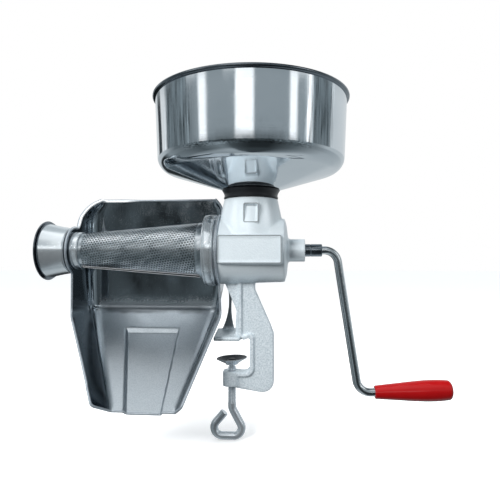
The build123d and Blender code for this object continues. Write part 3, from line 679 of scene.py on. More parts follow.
def join_into(piece, *others):
    """Adds the other objects' meshes to the piece as further shells of it."""
    work = bmesh.new()
    work.from_mesh(piece.data)
    for other in others:
        work.from_mesh(other.data)
        bpy.data.objects.remove(other)
    work.to_mesh(piece.data)
    work.free()
    return piece


# ---------------------------------------------------------------- filter
SEAM_TURN = -65.0
FILTER_WALL = 0.8
HOLE_PITCH = 3.2
HOLE_R = 1.2
PIN_TURN = 51.0
TWIST = 25.0


def barrel_point(x, radius, turn):
    """A point round the mill's axis, at this angle in degrees above the front horizontal."""
    angle = math.radians(turn)
    return Vector((x, -radius * math.cos(angle), AXIS_Z + radius * math.sin(angle)))


class Cone:
    """The filter's cone, and how a flat sheet rolls up into it."""

    big_x, big_r = -34.0, 31.6
    small_x, small_r = -177.0, 19.5
    slope = (big_r - small_r) / (big_x - small_x)
    half_angle = math.atan(slope)
    apex_x = small_x - small_r / slope
    near = small_r / math.sin(half_angle)
    far = big_r / math.sin(half_angle)
    sector = math.tau * math.sin(half_angle)

    @classmethod
    def radius(cls, x):
        return cls.small_r + cls.slope * (x - cls.small_x)

    @classmethod
    def rolled(cls, u, v, lift=0.0):
        """The place on the cone of a point of the flat sheet."""
        reach, swing = math.hypot(u, v), math.atan2(v, u)
        turn = SEAM_TURN + 180 + math.degrees(swing / math.sin(cls.half_angle))
        x = cls.apex_x + reach * math.cos(cls.half_angle)
        return barrel_point(x, reach * math.sin(cls.half_angle) + lift, turn)


def hexagon(u, v, radius):
    """The corners of a hexagon on the flat sheet."""
    turns = [k * math.pi / 3 for k in range(6)]
    return [(u + radius * math.sin(turn), v + radius * math.cos(turn)) for turn in turns]


def perforated_sheet():
    """The flat sheet as hexagonal cells, each with a hole, already rolled up."""
    row_gap = HOLE_PITCH * math.sqrt(3) / 2
    first = Cone.near * 0.9
    verts, faces = [], []
    rows = int(Cone.far * math.sin(Cone.sector / 2) / row_gap) + 1
    columns = int((Cone.far - first) / HOLE_PITCH) + 2
    for row in range(-rows, rows + 1):
        for column in range(columns):
            u = first + (column + 0.5 * (row % 2)) * HOLE_PITCH
            v = row * row_gap
            corners = hexagon(u, v, HOLE_PITCH / math.sqrt(3))
            reaches = [math.hypot(*c) for c in corners]
            swings = [abs(math.atan2(c[1], c[0])) for c in corners]
            if min(reaches) < Cone.near + 6 or max(reaches) > Cone.far - 1.2 or max(swings) > Cone.sector / 2:
                continue
            start = len(verts)
            verts += [Cone.rolled(*p) for p in corners + hexagon(u, v, HOLE_R)]
            for k in range(6):
                other = (k + 1) % 6
                faces.append((start + k, start + other, start + 6 + other, start + 6 + k))
    return verts, faces


def build_filter():
    """Perforated cone with plain margins, its flange, and its neck inside the outlet."""
    sheet = make_object("filter_mesh", perforated_sheet(), merge=0.02)
    modified(sheet, ("SOLIDIFY", {"thickness": FILTER_WALL * MM, "offset": -1.0}))
    # the walls of the holes get the dark second material as painted shade
    mark_trim(sheet, lambda face: -0.7 < height_on_cone(face.center / MM) / FILTER_WALL < -0.3)
    gap = 0.03
    wall = FILTER_WALL - 2 * gap
    # plain bands at the two ends
    neck = [
        (cone_low.x, Cone.small_r - gap - wall), (cone_low.x, Cone.small_r - gap),
        (Cone.small_x, Cone.small_r - gap), (Cone.small_x + 8, Cone.radius(Cone.small_x + 8) - gap),
        (Cone.small_x + 8, Cone.radius(Cone.small_x + 8) - gap - wall),
        (Cone.small_x, Cone.small_r - gap - wall),
    ]
    flange_x = cone_high.x
    flange_r = (cone_high.y - cone_low.y) / 2
    mouth = [
        (Cone.big_x - 3.4, Cone.radius(Cone.big_x - 3.4) - gap - wall),
        (Cone.big_x - 3.4, Cone.radius(Cone.big_x - 3.4) - gap), (Cone.big_x, Cone.big_r - gap),
        (flange_x - 0.8, Cone.big_r - gap, 0.6), (flange_x - 0.8, flange_r), (flange_x, flange_r),
        (flange_x, Cone.big_r - gap - wall, 0.8), (Cone.big_x, Cone.big_r - gap - wall),
    ]
    bands = [about_mill(outline, 144, 0.15, 3) for outline in (neck, mouth)]
    # plain margin under the lap seam
    margin = seam_strip(-gap, [(-8.0, -0.7), (-8.0, 0), (8.0, 0), (8.0, -0.7)])
    join_into(sheet, make_object("filter_margins", joined(*bands, margin)))
    return finished(sheet, "filter", "filter_cone", PERFORATED, 30, PAINTED_SHADE)


def seam_strip(lift, section):
    """A strip along the cone's seam; its section is (degrees from the seam, height) points."""
    verts = []
    steps = 24
    for step in range(steps + 1):
        x = seam_low.x + (seam_high.x - seam_low.x) * step / steps
        for turn, height in section:
            verts.append(barrel_point(x, Cone.radius(x) + lift + height, SEAM_TURN + turn))
    return verts, capped(steps + 1, len(section))


def build_seam():
    """Lap seam: two welded edges with a shallow channel between them."""
    section = [(-6.6, 0.0), (-6.4, 0.45), (-6.0, 0.6), (-5.2, 0.58), (-4.9, 0.22)]
    section += [(-turn, height) for turn, height in section[::-1]]
    piece = make_object("lap_seam", seam_strip(0.02, section))
    # the seam's raised edges carry a near-white painted highlight, and its low faces in the channel and along
    # its feet are painted dark as shade
    mark_trim(piece, lambda face: height_on_cone(face.center / MM) < 0.3)
    return finished(piece, "filter", "filter_seam", EDGE_PAINTED_HIGHLIGHT, 40, PAINTED_SHADE)


def height_on_cone(spot):
    """How far a place stands above the filter's cone."""
    return math.hypot(spot.y, spot.z - AXIS_Z) - Cone.radius(spot.x)


def build_collar():
    """Bayonet collar: a thin front bead, a wide band, a rear bead and two slots."""
    left, right = collar_low.x, collar_high.x
    outer_r = (collar_high.y - collar_low.y) / 2
    skirt_r = 36.3
    mouth_r = Cone.big_r + 0.1
    lip_x = cone_high.x - 0.9
    outline = [
        (left, mouth_r), (left, outer_r - 0.6, 0.5), (left + 1.5, outer_r - 0.1, 0.6),
        (left + 1.9, outer_r - 0.9, 0.2), (left + 2.6, outer_r - 0.9, 0.3), (left + 3.2, outer_r, 0.5),
        (right - 2.4, outer_r, 0.4), (right - 1.9, outer_r - 0.5, 0.2), (right - 1.3, outer_r - 0.5, 0.2),
        (right - 0.9, outer_r - 0.1, 0.3), (right, outer_r - 0.4, 0.4), (right, skirt_r),
        (lip_x, skirt_r), (lip_x, mouth_r),
    ]
    piece = make_object("collar", about_mill(outline, 160, 0.15, 4))
    pin_x = (pins_low.x + pins_high.x) / 2
    half = (pins_high.x - pins_low.x) / 2 + 0.4
    margin = math.degrees(half / 36.0)
    blocks = []
    for start in (PIN_TURN, PIN_TURN + 180):
        end = start + TWIST
        blocks.append(slot_block(pin_x - half, pin_x + half, start - margin, end + margin))
        blocks.append(slot_block(pin_x, right + 2, end - margin, end + margin))
    cut(piece, [make_object("slot_cutter", block) for block in blocks])
    return finished(piece, "filter", "filter_collar", STEEL_RING, 35)


def slot_block(x0, x1, first, last):
    """A curved block that cuts a slot through the collar between two angles."""
    section = [(x0, 34.5), (x1, 34.5), (x1, 42), (x0, 42)]
    verts = []
    steps = 16
    for step in range(steps + 1):
        turn = first + (last - first) * step / steps
        verts += [barrel_point(x, radius, turn) for x, radius in section]
    return verts, capped(steps + 1, len(section))


def build_neck_ring():
    """Turned ring at the small end, with a step and a bead."""
    outer_r = (ring_high.y - ring_low.y) / 2
    left, right = ring_low.x, ring_high.x
    outline = [
        (left, Cone.small_r + 0.02), (left, outer_r - 0.2, 0.4), (left + 1.6, outer_r, 0.5),
        (left + 2.1, outer_r - 0.6, 0.2), (left + 3.0, outer_r - 0.6, 0.2),
        (left + 3.6, outer_r - 0.1, 0.4), (right - 1.2, outer_r - 0.1, 0.5), (right, outer_r - 0.7, 0.4),
        (right, Cone.radius(right) + 0.05), (Cone.small_x, Cone.small_r + 0.05),
    ]
    piece = make_object("neck_ring", about_mill(outline, 128, 0.1, 4))
    return finished(piece, "filter", "filter_neck_ring", STEEL_RING, 35)


def build_outlet():
    """Spun outlet: socket on the filter's neck, a shoulder, a flare and a rolled mouth."""
    bead = Vector((0, (outlet_high.y - outlet_low.y) / 2 - BEAD_R, outlet_low.x + BEAD_R))
    socket_r = Cone.small_r + 0.08 + SHEET / 2
    shoulder_x = outlet_high.x - SHEET / 2
    points = [
        Vector((0, socket_r, cone_low.x)),
        Vector((0, socket_r, shoulder_x)),
        Vector((0, 25.6, shoulder_x)),
        Vector((0, bead.y - 1.2, bead.z + 1.4)),
    ]
    centres = [points[0], *arc_corner(*points[0:3], 1.2, 5), *arc_corner(*points[1:4], 1.6, 6)]
    # the flare is slightly hollow
    throat = centres[12]
    for step in range(1, 13):
        t = step / 12
        centres.append(throat.lerp(points[3], t) - Vector((0, 0.35 * math.sin(math.pi * t), 0)))
    outer, inner = sheet_sides(centres)
    curl = curled(bead, 60, 300, 20)
    if outer[-1].y < inner[-1].y:
        curl.reverse()
    outline = [(p.z, p.y) for p in outer + curl + inner[::-1]]
    piece = make_object("outlet_funnel", lathe(outline, MILL_AXIS, ALONG_X, FRONT, 160))
    # the rolled mouth gets the dark rim finish as painted shade
    mark_trim(piece, lambda face: face.center.x / MM < outlet_low.x + 2 * BEAD_R)
    return finished(piece, "outlet", "waste_outlet", SPUN, 50, RIM_PAINTED_SHADE)


# ---------------------------------------------------------------- tray
def eased(z, heights, values, reach=5.0):
    """A value that runs straight between the given heights, with its bends rounded over the reach."""
    offsets = np.linspace(-reach, reach, 9)
    spots = z + offsets
    low, high = heights[0], heights[-1]
    found = np.interp(spots, heights, values)
    steep_low = (values[1] - values[0]) / (heights[1] - heights[0])
    steep_high = (values[-1] - values[-2]) / (heights[-1] - heights[-2])
    found = np.where(spots < low, values[0] + steep_low * (spots - low), found)
    found = np.where(spots > high, values[-1] + steep_high * (spots - high), found)
    return float(found.mean())


def tray_row(z):
    """The tray's figures at one height: back y, then left and right corner x, rounding and wall end x."""
    heights = TRAY_ROWS[:, 0]
    reach = 5.0 if z > BEND_Z - 8 else min(5.0, z - LIP_Z + 0.01)
    found = [eased(z, heights, TRAY_ROWS[:, k], reach) for k in range(1, 7)]
    bend_reach = min(4.5, z - LIP_Z + 0.01)
    back = eased(z, (LIP_Z, BEND_Z, TRAY_TOP_Z), (LIP_Y, TRAY_BACK_Y, TRAY_BACK_Y), bend_reach)
    far = np.interp(z, *zip(*FAR_FRONT))
    return back, far, found


def wall_x(y, z, side):
    """Where the left (0) or right (1) wall is at this y and z."""
    back, far, (left_x, _, right_x, _, left_end, right_end) = tray_row(z)
    corner, end = ((left_x, left_end), (right_x, right_end))[side]
    return corner + (end - corner) * (back - y) / (back - far)


def free_edge(outline, ear_r):
    """The wall's free edge in (y, z), with the ear's arc put in where it stands proud of the outline."""
    dense = []
    corners = [Vector((0, *p)) for p in outline]
    softened = [corners[0]]
    for i in range(1, len(corners) - 1):
        softened += arc_corner(corners[i - 1], corners[i], corners[i + 1], 9 if corners[i].z > 0 else 2, 8)
    softened.append(corners[-1])
    for a, b in zip(softened, softened[1:]):
        pieces = max(1, int((b - a).length / 0.7))
        dense += [a.lerp(b, k / pieces) for k in range(pieces)]
    dense.append(softened[-1])
    centre = MILL_AXIS
    outside = [(p - centre).length > ear_r for p in dense]
    if all(outside):
        return dense
    first = outside.index(False)
    last = len(outside) - 1 - outside[::-1].index(False)
    enter, leave = dense[first] - centre, dense[last] - centre
    start, end = math.atan2(enter.z, enter.y), math.atan2(leave.z, leave.y)
    if end < start:
        end += math.tau
    arc = []
    for k in range(61):
        turn = start + (end - start) * k / 60
        arc.append(centre + Vector((0, math.cos(turn), math.sin(turn))) * ear_r)
    path = dense[:first] + arc + dense[last + 1 :]
    # the two inner corners where the ear meets the edge are eased
    for _ in range(6):
        path = [path[0], *((a + 2 * b + c) / 4 for a, b, c in zip(path, path[1:], path[2:])), path[-1]]
    return path


def evenly(path, count):
    """The path as this many points, evenly spaced along it."""
    steps = [0.0]
    for a, b in zip(path, path[1:]):
        steps.append(steps[-1] + (b - a).length)
    wanted = np.linspace(0, steps[-1], count)
    return [Vector(np.interp(w, steps, [p[k] for p in path]) for k in range(3)) for w in wanted]


def held(share):
    """The share kept between 0 and 1."""
    return min(max(share, 0.0), 1.0)


def panel_drop(x, down):
    """How far the chute's pressed panel is sunk at this x and distance down the chute."""
    share = (down - PANEL_START) / (CHUTE_LENGTH + 4 - PANEL_START)
    if share < 0:
        return 0.0
    left = TRAY_MIDDLE_X - 34 + 31.5 * share
    right = TRAY_MIDDLE_X + 33 + 4 * share
    into = held(min((x - left) / 3.8, (right - x) / 2.6, (down - PANEL_START) / 7.0))
    return PANEL_DEPTH * into * into * (3 - 2 * into)


def build_tray():
    """One sheet bent into a back, two walls with ears and a chute, with rolled free edges."""
    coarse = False
    step = 2.4 if coarse else 1.6
    # rows follow the back wall and the chute at an even spacing
    upper = np.arange(TRAY_TOP_Z, BEND_Z + 9, -step)
    lower = np.arange(BEND_Z + 9, LIP_Z, -step * 0.6)
    heights = [*upper, *lower, LIP_Z]
    sides = []
    for outline, ear_r, side in ((FRONT_LEFT, EAR_LEFT_R, 0), (FRONT_RIGHT, EAR_RIGHT_R, 1)):
        path = free_edge(outline, ear_r)
        sides.append(matched(path, heights))
    rows = []
    wall_steps = 30 if coarse else 50
    back_steps = 60 if coarse else 90
    for k, z in enumerate(heights):
        back, far, (left_x, left_r, right_x, right_r, left_end, right_end) = tray_row(z)
        arcs = []
        for corner_x, radius, end_x in ((left_x, left_r, left_end), (right_x, right_r, right_end)):
            corner = Vector((corner_x, back, z))
            along_wall = Vector((end_x - corner_x, far - back, 0)).normalized()
            along_back = Vector((1 if corner_x == left_x else -1, 0, 0))
            # the corner's rounding dies away where the wall does
            radius = min(radius, 0.7 * (back - sides[len(arcs)][k].y))
            if radius < 0.1:
                arcs.append([corner] * 11)
                continue
            arcs.append(arc_corner(corner + along_wall * 60, corner, corner + along_back * 60, radius, 10))
        row = []
        for side, arc in enumerate(arcs):
            edge = sides[side][k]
            line = []
            for s in range(wall_steps):
                t = s / wall_steps
                y = edge.y + (arc[0].y - edge.y) * t
                height = edge.z + (z - edge.z) * t
                line.append(Vector((wall_x(y, height, side), y, height)))
            line += arc
            if side == 0:
                row += line
                start = arc[-1]
            else:
                row += [start.lerp(arc[-1], s / back_steps) for s in range(1, back_steps)]
                row += line[::-1]
        rows.append([sunk(p) for p in row])
    width = len(rows[0])
    verts = [p for row in rows for p in row]
    starts = [k * width + i for k in range(len(rows) - 1) for i in range(width - 1)]
    faces = [(here, here + 1, here + width + 1, here + width) for here in starts]
    for hole_r, x in ((Cone.small_r + 0.6, TRAY_LEFT_X), (36.1, TRAY_RIGHT_X)):
        faces = round_hole(verts, faces, x, hole_r)
    sheet = make_object("tray_sheet", (verts, faces), merge=0.0005)
    inward = sheet.data.polygons[len(sheet.data.polygons) // 2].normal.y < 0
    modified(sheet, ("SOLIDIFY", {"thickness": SHEET * MM, "offset": 1.0 if inward else -1.0}))
    # rolled hem along every free edge
    loop = [row[0] for row in rows] + rows[-1][1:-1] + [row[-1] for row in rows[::-1]] + rows[0][1:-1][::-1]
    into = tray_inside(loop)
    hem_path = evenly([*into, into[0]], 900 if not coarse else 400)[:-1]
    swells = [held((-120 - p.x) / 20) * held((p.z - AXIS_Z - 20) / 10) for p in hem_path]
    hem_radii = [HEM_R + HEM_SWELL * swell for swell in swells]
    hem = make_object("tray_hem", tube(hem_path, hem_radii, 12, closed=True))
    mark_trim(hem)
    join_into(sheet, hem)
    return finished(sheet, "housing", "splash_tray", STEEL_TRAY, 40, HEM)


def round_hole(verts, faces, x, hole_r):
    """The faces left when a round hole about the mill's axis is opened near this x; its rim is made round."""
    near = [i for i, p in enumerate(verts) if abs(p.x - x) < 4 and p.y < TRAY_BACK_Y - 5]
    reach = {i: math.hypot(verts[i].y, verts[i].z - AXIS_Z) for i in near}
    kept = [f for f in faces if not all(reach.get(i, hole_r + 1) < hole_r for i in f)]
    for i in {i for f in kept for i in f}:
        if reach.get(i, hole_r + 1) < hole_r:
            grow = hole_r / max(reach[i], 0.1)
            verts[i] = Vector((verts[i].x, verts[i].y * grow, AXIS_Z + (verts[i].z - AXIS_Z) * grow))
    return kept


def tray_inside(loop):
    """The free edge's loop, moved to the middle of the sheet's thickness on the two walls."""
    out = []
    for p in loop:
        from_middle = p.x - TRAY_MIDDLE_X
        shift = math.copysign(SHEET / 2, -from_middle) if abs(from_middle) > 40 else 0
        out.append(p + Vector((shift, 0, 0)))
    return out


def matched(path, heights):
    """For each row's height a point of the free edge, spaced so that rows never cross."""
    steps = [0.0]
    for a, b in zip(path, path[1:]):
        steps.append(steps[-1] + (b - a).length)
    # the edge's length is shared out by height where it runs down, and by length round the ear
    marks = []
    lowest = path[0].z
    for p, s in zip(path, steps):
        lowest = min(lowest, p.z)
        marks.append(0.75 * lowest + 0.25 * (path[0].z + (path[-1].z - path[0].z) * s / steps[-1]))
    order = np.argsort(marks)
    marks = np.array(marks)[order]
    places = np.array([[p.x, p.y, p.z] for p in path])[order]
    return [Vector(np.interp(z, marks, places[:, k]) for k in range(3)) for z in heights]


def sunk(p):
    """A point of the sheet with the pressed panel's depth taken off along the chute's normal."""
    if p.z > BEND_Z:
        return p
    from_bend = Vector((0, p.y, p.z)) - Vector((0, TRAY_BACK_Y, BEND_Z))
    if from_bend.dot(CHUTE_OUT) > 4:
        return p
    return p - CHUTE_OUT * panel_drop(p.x, from_bend.dot(CHUTE_DOWN))


# ---------------------------------------------------------------- shaft, crank and grip
ROD_R = crank_high.y
CRANK_TOP_X = 116.5
CRANK_LOW = Vector((140.4, 0, -57.2))
CRANK_END = Vector((231.0, 0, -52.6))


def chamfered_rod(points, bend_r, radius, sides=40):
    """A bent round bar with a small chamfer at each end."""
    chamfer = 0.5
    path = [points[0]]
    for i in range(1, len(points) - 1):
        path += arc_corner(points[i - 1], points[i], points[i + 1], bend_r, 20, 0.6)
    path.append(points[-1])
    first = (path[1] - path[0]).normalized()
    last = (path[-1] - path[-2]).normalized()
    path = [path[0], path[0] + first * chamfer, *path[1:-1], path[-1] - last * chamfer, path[-1]]
    radii = [radius - chamfer, *([radius] * (len(path) - 2)), radius - chamfer]
    return tube(path, radii, sides)


def build_crank():
    points = [Vector((crank_low.x, 0, AXIS_Z)), Vector((CRANK_TOP_X, 0, AXIS_Z)), CRANK_LOW, CRANK_END]
    piece = make_object("crank_rod", chamfered_rod(points, 15, ROD_R, 48))
    return finished(piece, "crank", "crank_arm", CHROME, 35)


def build_shaft():
    """Turned shaft with a grooved end, and the square tang that drives the auger."""
    radius = (shaft_high.y - shaft_low.y) / 2
    right = shaft_high.x
    shoulder = shaft_low.x + 20.2
    outline = [
        (shoulder, 0), (shoulder, radius), (right - 13.2, radius), (right - 12.6, radius - 0.35, 0.2),
        (right - 12.0, radius, 0.2), (right - 0.6, radius, 0.2), (right, radius - 0.6, 0.2),
        (right, ROD_R + 0.05, 0.1), (right - 18, ROD_R + 0.05), (right - 18, 0),
    ]
    half = 4.8
    verts = [
        Vector((x, y * half, AXIS_Z + z * half))
        for x in (shaft_low.x, shoulder + 1)
        for y, z in ((-1, -1), (1, -1), (1, 1), (-1, 1))
    ]
    tang = make_object("shaft_tang", (verts, capped(2, 4)))
    modified(tang, ("BEVEL", {"width": 0.5 * MM, "segments": 2}))
    piece = make_object("shaft", about_mill(outline, 96, 0.05, 2))
    join_into(piece, tang)
    return finished(piece, "crank", "drive_shaft", DARK, 35)


def build_grip():
    """Tapered red grip with a domed end and a collar bead where it starts."""
    tilt = (CRANK_END - CRANK_LOW).normalized()
    start, end = 17.6, 100.5
    bore = ROD_R + 0.09
    hip = [(start + 2.4, 7.35), (30, 8.2), (42, 9.2), (60, 10.7), (74, 11.45), (86, 11.4), (end - 5, 10.7)]
    swell = [(p.x, p.y) for p in smooth_curve(hip, 8)]
    turns = np.linspace(0.1, math.pi / 2, 12)
    cap = [(end - 5 + 5 * math.sin(turn), 4 + 6.7 * math.cos(turn)) for turn in turns]
    lead = [(start, bore), (start, 6.3), (start + 0.4, 7.0), (start + 1.2, 7.3)]
    tail = [(end, 0), (93, 0), (93, 7.4), (84, 7.4), (84, bore)]
    piece = make_object("grip", lathe(lead + swell + cap + tail, CRANK_LOW, tilt, FRONT, 96))
    piece.visible_glossy = False
    return finished(piece, "grip", "crank_grip", RED, 40)


# ---------------------------------------------------------------- clamp screw and pad
SCREW_R = screw_high.y
THREAD_PITCH = 1.6
THREAD_DEPTH = 0.5


def threaded_rod(top, bottom):
    """A rod with a rounded screw thread cut in it, its ends running out smoothly."""
    sides = 40
    rows = int((top - bottom) / THREAD_PITCH * 8)
    verts = []
    for row in range(rows + 1):
        z = top + (bottom - top) * row / rows
        fade = min(1.0, (top - z) / 1.5, (z - bottom) / 3.0)
        for side in range(sides):
            turn = math.tau * side / sides
            phase = math.cos(math.tau * z / THREAD_PITCH + turn)
            radius = SCREW_R - THREAD_DEPTH * max(fade, 0) * (0.5 - 0.5 * phase)
            verts.append(Vector((radius * math.cos(turn), radius * math.sin(turn), z)))
    return verts, capped(rows + 1, sides)


def build_screw():
    """Threaded rod, its neck and riveted head, and the rod's end bent into a three-sided eye."""
    shoulder = -31.0
    eye_z = screw_low.z + SCREW_R
    thread_end = -72.0
    points = [
        Vector((0, 0, thread_end + 1)),
        Vector((0, 0, -77)),
        Vector((17, 0, eye_z)),
        Vector((-30.6, 0, eye_z)),
        Vector((-8.4, 0, -82)),
    ]
    eye = chamfered_rod(points, 9, SCREW_R - 0.01)
    neck = [
        (shoulder - 1, 0), (shoulder - 1, 3.2), (screw_high.z - 1.6, 3.2), (screw_high.z - 1.6, 4.4),
        (screw_high.z - 1.0, 4.4, 0.3), (screw_high.z - 0.3, 3.2, 1.0), (screw_high.z, 0),
    ]
    head = lathe(rounded(neck, 0.1, steps=3), Vector((0, 0, 0)), UP, FRONT, 48)
    piece = make_object("screw", joined(threaded_rod(shoulder, thread_end), eye, head))
    # the top of the head, down in the pad's dish, is painted dark as shade
    mark_trim(piece, lambda face: face.center.z / MM > screw_high.z - 1.7)
    return finished(piece, "screw", "clamp_screw", ZINC, 35, PAINTED_SHADE)


def build_pad():
    """Pressed swivel pad: a dished rim over a short hub, tilted a little to the left."""
    lean = math.radians(3.0)
    axis = Vector((-math.sin(lean), 0, math.cos(lean)))
    outline = [
        (-2.4, 3.7), (-2.4, 6.6, 0.6), (-0.8, 7.4, 1.5), (2.4, 13.4, 3.0), (4.4, 17.1, 0.3),
        (5.3, 17.1, 0.3), (5.3, 16.2, 0.4), (3.6, 12.8, 3.0), (1.2, 7.4, 2.0), (1.0, 3.7),
    ]
    centre = Vector((0, 0, -26.0))
    piece = make_object("pad", lathe(rounded(outline, 0.2, steps=6), centre, axis, FRONT, 96))
    # the faces that look up into the dish are painted dark as shade
    mark_trim(piece, lambda face: face.normal.dot(axis) > 0.3)
    return finished(piece, "pad", "clamp_pad", ZINC, 35, PAINTED_SHADE)


def build_pad_washer():
    low, high = washer_low.z, washer_high.z
    outline = [(low, 3.3), (low, washer_high.x), (high, washer_high.x), (high, 3.3)]
    piece = make_object("washer", lathe(rounded(outline, 0.2, steps=3), Vector((0, 0, 0)), UP, FRONT, 64))
    # the whole washer, in the pad's dish, is painted dark as shade
    return finished(piece, "screw_carrier", "pad_washer", PAINTED_SHADE, 35)


def build_pins():
    """Two bayonet pins with domed heads."""
    radius = (pins_high.x - pins_low.x) / 2
    x = (pins_low.x + pins_high.x) / 2
    outline = [(33.0, 0), (33.0, radius), (39.6, radius, 0.8), (39.6, 0)]
    parts = []
    for turn in (PIN_TURN, PIN_TURN + 180):
        out = barrel_point(0, 1, turn) - MILL_AXIS
        parts.append(lathe(rounded(outline, 0.01, steps=5), Vector((x, 0, AXIS_Z)), out, ALONG_X, 40))
    piece = make_object("pins", joined(*parts))
    return finished(piece, "housing", "lock_pins", CHROME, 35)


# ---------------------------------------------------------------- stage, light and camera
def build_stage():
    """Plain pale floor under the mill."""
    size = 8.0
    floor_z = cad_bounds[0].z - 0.0005
    mesh = bpy.data.meshes.new("floor")
    corners = [(-size, -size, floor_z), (size, -size, floor_z), (size, size, floor_z), (-size, size, floor_z)]
    mesh.from_pydata(corners, [], [(0, 1, 2, 3)])
    floor = bpy.data.objects.new("floor", mesh)
    bpy.context.scene.collection.objects.link(floor)
    made, shader, place = new_material("pale_floor", 0.0, specular=0.1)
    tone = noise(place, 300, 2)
    give(shader, "Base Color", colours(tone, (0.90, 0.90, 0.90), (0.92, 0.92, 0.92)))
    shader.inputs["Roughness"].default_value = 0.9
    shader.inputs["Emission Color"].default_value = (1, 1, 1, 1)
    shader.inputs["Emission Strength"].default_value = 0.3
    mesh.materials.append(made)
    floor.visible_glossy = False
    floor.visible_diffuse = False


def build_world():
    """White room for the eye and for dull surfaces; strip lights on grey walls for polished ones."""
    world = bpy.data.worlds.new("studio")
    bpy.context.scene.world = world
    world.use_nodes = True
    tree = world.node_tree
    tree.nodes.clear()
    direction = add(tree, "ShaderNodeTexCoord").outputs["Generated"]
    x, y, z = axes(direction)
    wobble = ramp(noise(direction, 1 / 9, 3.0), 0.2, 0.8, -0.03, 0.03)
    azimuth = plus(math_node("ARCTAN2", x, times(y, -1.0)), wobble)
    share = ramp(azimuth, -math.pi, math.pi)
    # the room's clutter: upright streaks at the sides, and patches all round below eye level
    patches = ramp(noise(scaled(direction, (7, 7, 1.6)), 0.2, 5.0), 0.36, 0.64, 0.25, 2.2)
    spread = math_node("ABSOLUTE", azimuth, 0.0)
    dappled = masked(patches, ramp(spread, 1.5, 1.2))
    streaks = masked(patches, between(spread, 1.15, 1.26, 1.95, 2.06))
    glossy = wall_colour(share, WALL_STOPS, streaks)
    # each further wall takes over from the last between two heights of the reflected direction
    for stops, factor, start, full in (
        (HIGH_STOPS, 1.0, 0.27, 0.33),
        (CEILING_STOPS, 1.0, 0.62, 0.80),
        (FLOOR_STOPS, dappled, 0.150, 0.136),
        (GROUND_STOPS, dappled, -0.045, -0.11),
        (DEEP_STOPS, 1.0, -0.30, -0.40),
        (UNDER_STOPS, 1.0, -0.70, -0.85),
    ):
        glossy = colours(ramp(z, start, full), glossy, wall_colour(share, stops, factor))
    path = add(tree, "ShaderNodeLightPath")
    mirror = add(tree, "ShaderNodeBackground", {"Color": glossy, "Strength": 1.0})
    soft = ramp(z, -0.5, 0.6, 0.14, 0.85)
    room = add(tree, "ShaderNodeBackground", {"Color": (0.93, 0.97, 1.0, 1), "Strength": soft})
    white = add(tree, "ShaderNodeBackground", {"Color": (1, 1, 1, 1), "Strength": 1.0})
    by_mirror = {0: path.outputs["Is Glossy Ray"], 1: room.outputs[0], 2: mirror.outputs[0]}
    lit = add(tree, "ShaderNodeMixShader", by_mirror)
    by_eye = {0: path.outputs["Is Camera Ray"], 1: lit.outputs[0], 2: white.outputs[0]}
    seen = add(tree, "ShaderNodeMixShader", by_eye)
    add(tree, "ShaderNodeOutputWorld", {"Surface": seen.outputs[0]})


def masked(value, share):
    """The value where the share is 1, and 1 where it is 0."""
    return plus(times(plus(value, -1.0), share), 1.0)


def wall_colour(share, stops, factor):
    """The colour of a wall of the room, from the share of the way round it."""
    level = add(share.id_data, "ShaderNodeValToRGB", {"Fac": share})
    fill_ramp(level.color_ramp, stops)
    inputs = {0: level.outputs[0], "Scale": factor}
    return add(share.id_data, "ShaderNodeVectorMath", inputs, operation="SCALE").outputs[0]


def fill_ramp(colour_ramp, stops):
    """Sets a colour ramp from (degrees from the front, brightness) stops, cool grey in tint."""
    colour_ramp.interpolation = "LINEAR"
    colour_ramp.elements.remove(colour_ramp.elements[-1])
    for i, (degrees, level) in enumerate(stops):
        spot = (degrees + 180) / 360
        if i:
            element = colour_ramp.elements.new(spot)
        else:
            element = colour_ramp.elements[0]
            element.position = spot
        tint = min(level, 1.0)
        element.color = (level * (0.73 + 0.27 * tint), level * (0.91 + 0.09 * tint), level, 1)


def strips(base, lights, edge=1.5):
    """Stops for a wall with bright strips: each light is its two edges in degrees and its brightness."""
    stops = list(base)
    for first, last, level in lights:
        before, after = map(float, np.interp([first, last], *zip(*base)))
        stops = [s for s in stops if not first - edge < s[0] < last + edge]
        stops += [(first - edge, before), (first + edge, level), (last - edge, level), (last + edge, after)]
    return sorted(stops)


WALL_BASE = [
    (-180, 0.80), (-142, 0.80), (-139, 0.06), (-129, 0.06), (-126, 0.95), (-115, 0.85), (-111, 0.14),
    (-76, 0.20), (-56, 0.42), (-24, 0.40), (6, 0.42), (48, 0.42), (68, 0.40), (84, 0.16), (108, 0.18),
    (114, 0.75), (180, 0.80),
]
WALL_STOPS = strips(WALL_BASE, [(-57, -47, 1.5), (-12.5, 7, 1.6), (49, 58, 1.5), (70.5, 77.5, 1.3)])
HIGH_STOPS = strips(
    [(-180, 0.80), (-120, 0.60), (-90, 0.12), (-50, 0.30), (40, 0.30), (95, 0.15), (120, 0.6), (180, 0.80)],
    [(-74, -60, 1.5), (-27, -8, 1.15), (58, 76, 1.5)],
)
CEILING_STOPS = [
    (-180, 0.38), (-118, 0.36), (-92, 0.75), (-55, 1.3), (0, 0.8), (50, 0.30), (75, 0.04), (150, 0.04),
    (168, 0.36), (180, 0.38),
]
FLOOR_STOPS = [
    (-180, 0.70), (-120, 0.60), (-95, 0.20), (-45, 0.14), (-35, 0.06), (25, 0.05), (40, 0.12), (80, 0.25),
    (105, 0.60), (180, 0.70),
]
GROUND_STOPS = [
    (-180, 0.03), (-125, 0.03), (-110, 0.35), (-60, 0.09), (-34, 0.25), (-26, 0.20), (-21, 0.10),
    (-6, 0.05), (4, 0.02), (28, 0.02), (60, 0.10), (110, 0.45), (180, 0.70),
]
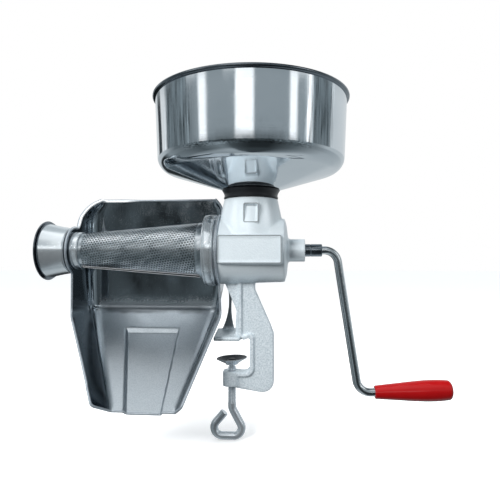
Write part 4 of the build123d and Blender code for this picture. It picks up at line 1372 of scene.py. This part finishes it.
DEEP_STOPS = [
    (-180, 0.02), (-140, 0.02), (-118, 0.30), (-60, 0.12), (-34, 0.25), (-26, 0.20), (-21, 0.10),
    (-6, 0.05), (4, 0.03), (28, 0.03), (60, 0.14), (110, 0.50), (180, 0.60),
]
UNDER_STOPS = [
    (-180, 0.65), (-110, 0.60), (-80, 0.35), (-34, 0.45), (-26, 0.40), (-20, 0.10), (0, 0.06), (40, 0.06),
    (80, 0.30), (110, 0.60), (180, 0.65),
]


def area_light(name, place, aim, size, power):
    """A soft rectangular light, pointed at a spot and unseen itself.  Places are in millimetres."""
    light = bpy.data.lights.new(name, "AREA")
    light.shape = "RECTANGLE"
    light.size, light.size_y = size[0] * MM, size[1] * MM
    light.energy = power
    lamp = bpy.data.objects.new(name, light)
    lamp.location = Vector(place) * MM
    lamp.rotation_euler = (Vector(aim) - Vector(place)).to_track_quat("-Z", "Y").to_euler()
    lamp.visible_camera = False
    lamp.visible_glossy = False
    bpy.context.scene.collection.objects.link(lamp)


def build_lights():
    middle = (20, 0, 90)
    area_light("key_softbox", (-480, -900, 540), middle, (420, 320), 15)
    area_light("top_softbox", (150, 100, 1300), middle, (600, 500), 12)


CAMERA_LENS = 35.4
CAMERA_AIM = Vector((20.3, 0, AXIS_Z + 0.5))
CAMERA_DISTANCE = 555.7
CAMERA_AZIMUTH = 4.78  # degrees from the front towards the crank
CAMERA_RISE = -1.05


def build_camera():
    """The photograph's view: a little to the right of the front and a little below the axis."""
    data = bpy.data.cameras.new("camera")
    data.sensor_width = 36.0
    data.lens = CAMERA_LENS
    camera = bpy.data.objects.new("camera", data)
    azimuth, rise = math.radians(CAMERA_AZIMUTH), math.radians(CAMERA_RISE)
    back = Vector((math.sin(azimuth) * math.cos(rise), -math.cos(azimuth) * math.cos(rise), math.sin(rise)))
    camera.location = (CAMERA_AIM + back * CAMERA_DISTANCE) * MM
    camera.rotation_euler = (-back).to_track_quat("-Z", "Y").to_euler()
    bpy.context.scene.collection.objects.link(camera)
    bpy.context.scene.camera = camera


build_camera()
build_stage()
build_world()
build_lights()
bpy.context.scene.view_settings.view_transform = "Standard"

build_hopper()
build_seal()
build_casting()
build_filter()
build_seam()
build_collar()
build_neck_ring()
build_outlet()
build_tray()
build_crank()
build_shaft()
build_grip()
build_screw()
build_pad()
build_pad_washer()
build_pins()

# the hidden pieces keep their CAD shapes
KEPT_NODES = {
    # the auger gets the darker cast copy as painted shade seen through the filter's holes
    "auger": CAST_PAINTED_SHADE,
    "auger_spring": ZINC,
    "thrust_washer": ZINC,
    "grip_retainer": ZINC,
    "shaft_bush": BRONZE,
    "filter_gasket": RUBBER,
}
for node, material in KEPT_NODES.items():
    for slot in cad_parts[node].material_slots:
        slot.material = material
